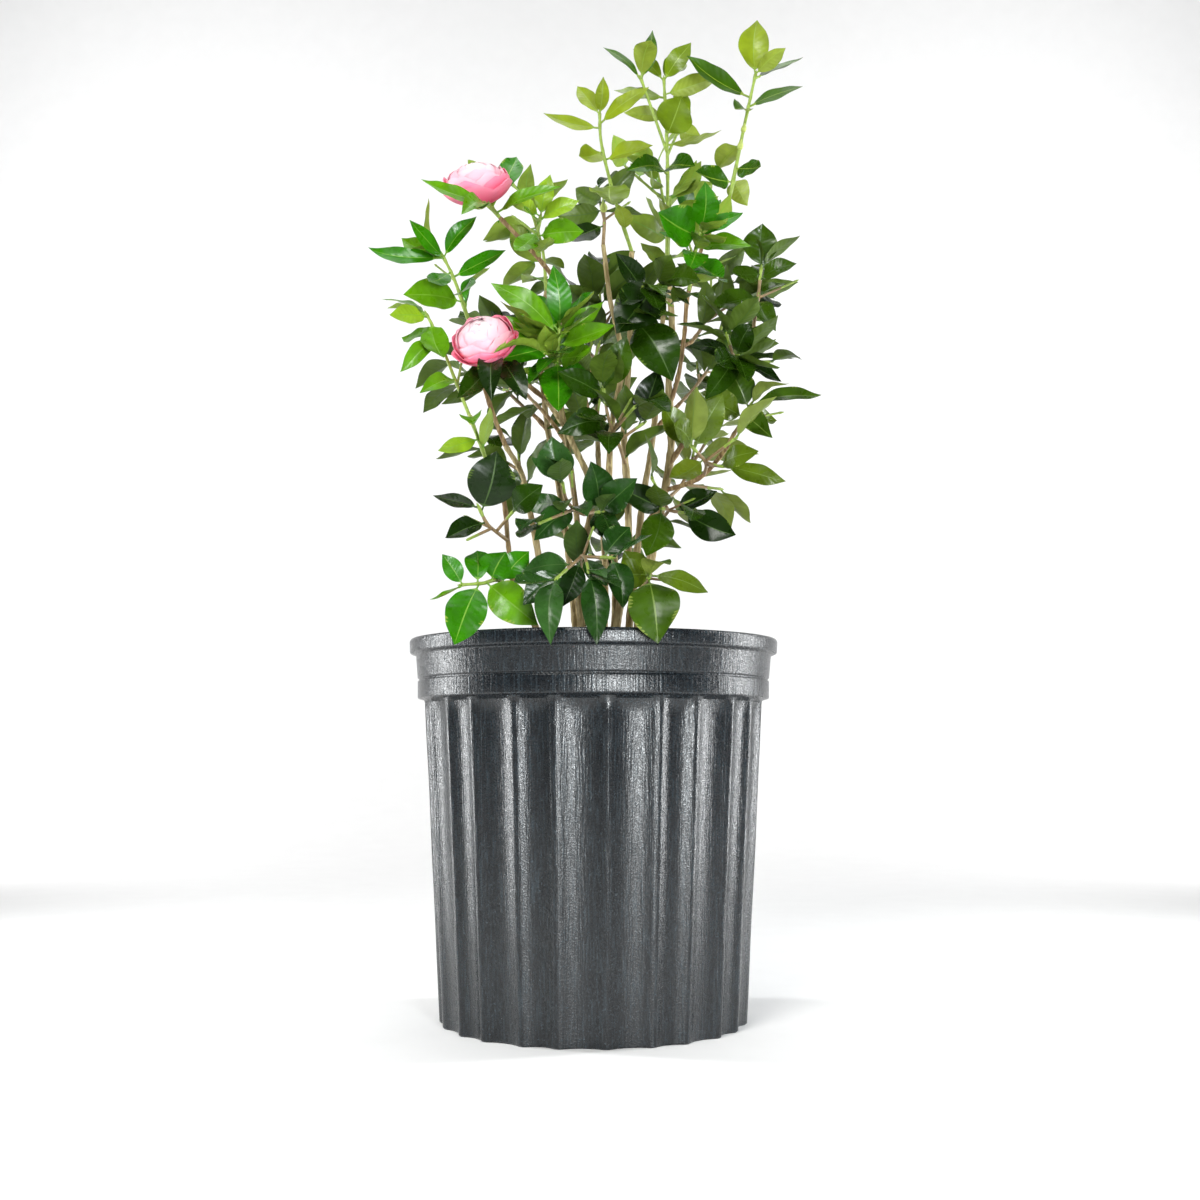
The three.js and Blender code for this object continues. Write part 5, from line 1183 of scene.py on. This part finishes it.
CAMERA = dict(place=(0.0053, -1.245, 0.216), pitch=5.64, lens=45.54, sensor=36)
LIGHTS = [  # name, place, aim, size, power, colour
    ("softbox_left", (-1.1, 0.25, 0.45), (0, 0, 0.4), (0.16, 1.2), 16, (0.97, 0.99, 1)),
    ("softbox_right", (1.1, 0.25, 0.45), (0, 0, 0.4), (0.16, 1.2), 16, (0.97, 0.99, 1)),
    ("flash_front", (0.4, -1.6, 0.26), (0, 0, 0.38), (0.2, 0.4), 21, (0.94, 0.98, 1)),
    ("key_above", (-0.4, -1.2, 1.5), (0, 0, 0.62), (0.5, 0.5), 19, (1, 0.99, 0.96)),
    ("top_fill", (0.1, 0.1, 1.9), (0, 0, 0.5), (1.0, 1.0), 10, (1, 1, 1)),
    ("backdrop_left", (-1.6, 1.2, 1.5), (-0.6, 3.0, 1.4), (0.6, 2.2), 34, (1, 1, 1)),
    ("backdrop_right", (1.6, 1.2, 1.5), (0.6, 3.0, 1.4), (0.6, 2.2), 34, (1, 1, 1)),
]
WORLD = 0.05
# The paper sweep: half its width, where its floor starts, where it bends, the bend and its top.
SWEEP = dict(half=5, front=-4, bend_at=1.6, bend=1.4, top=4, pieces=16)


def make_stage():
    """A pale paper floor that bends up into a backdrop, and soft studio lights."""
    bend_at, bend, pieces = SWEEP["bend_at"], SWEEP["bend"], SWEEP["pieces"]
    turns = [math.pi / 2 * i / pieces for i in range(pieces + 1)]
    profile = [(SWEEP["front"], 0)]
    profile += [(bend_at + bend * math.sin(turn), bend * (1 - math.cos(turn))) for turn in turns]
    profile.append((bend_at + bend, SWEEP["top"]))
    points = [(x, y, z) for y, z in profile for x in (-SWEEP["half"], SWEEP["half"])]
    faces = [[2 * i, 2 * i + 1, 2 * i + 3, 2 * i + 2] for i in range(len(profile) - 1)]
    paper = bpy.data.meshes.new("floor")
    paper.from_pydata(points, [], faces)
    paper.polygons.foreach_set("use_smooth", [True] * len(faces))
    paper.materials.append(plain_material("floor_paper", (0.88, 0.88, 0.88), 0.9, 20, 0.02, 0.0002, 0.01))
    placed("floor", paper)
    world = bpy.data.worlds.new("studio")
    world.use_nodes = True
    background = world.node_tree.nodes["Background"].inputs
    background["Color"].default_value = (1, 1, 1, 1)
    background["Strength"].default_value = WORLD
    bpy.context.scene.world = world
    for name, place, aim, size, power, colour in LIGHTS:
        light = bpy.data.lights.new(name, "AREA")
        light.shape, light.size, light.size_y = "RECTANGLE", *size
        light.energy, light.color = power, colour
        lamp = placed(name, light)
        lamp.location = place
        lamp.rotation_euler = (Vector(aim) - Vector(place)).to_track_quat("-Z", "Y").to_euler()
    bpy.context.scene.view_settings.view_transform = "Standard"


def make_camera():
    camera = bpy.data.cameras.new("camera")
    camera.sensor_width, camera.lens = CAMERA["sensor"], CAMERA["lens"]
    camera.clip_start = 0.01
    eye = placed("camera", camera)
    eye.location = CAMERA["place"]
    eye.rotation_euler = (math.radians(90 + CAMERA["pitch"]), 0, 0)
    bpy.context.scene.camera = eye


make_stage()
make_camera()
make_pot(pot_material())
make_mix([
    plain_material("mix_fibre", (0.03, 0.015, 0.012), 0.9, 500, 0.9, 0.001, 0.5),
    plain_material("mix_bark", (0.06, 0.03, 0.022), 0.85, 600, 0.8, 0.0008, 0.4),
    plain_material("mix_perlite", (0.72, 0.7, 0.66), 0.8, 700, 0.5, 0.0004, 0.08),
])
limbs, masses = grow_plant()
make_limbs(limbs, STEMS, "stem_bark", bark_material("bark_old", (0.46, 0.37, 0.19), (0.24, 0.18, 0.08)))
make_limbs(limbs, BOUGHS, "bough_bark", bark_material("bark_young", (0.34, 0.24, 0.11), (0.17, 0.1, 0.045)))
make_twigs(masses)
make_leaves(masses)
make_blossom(masses)
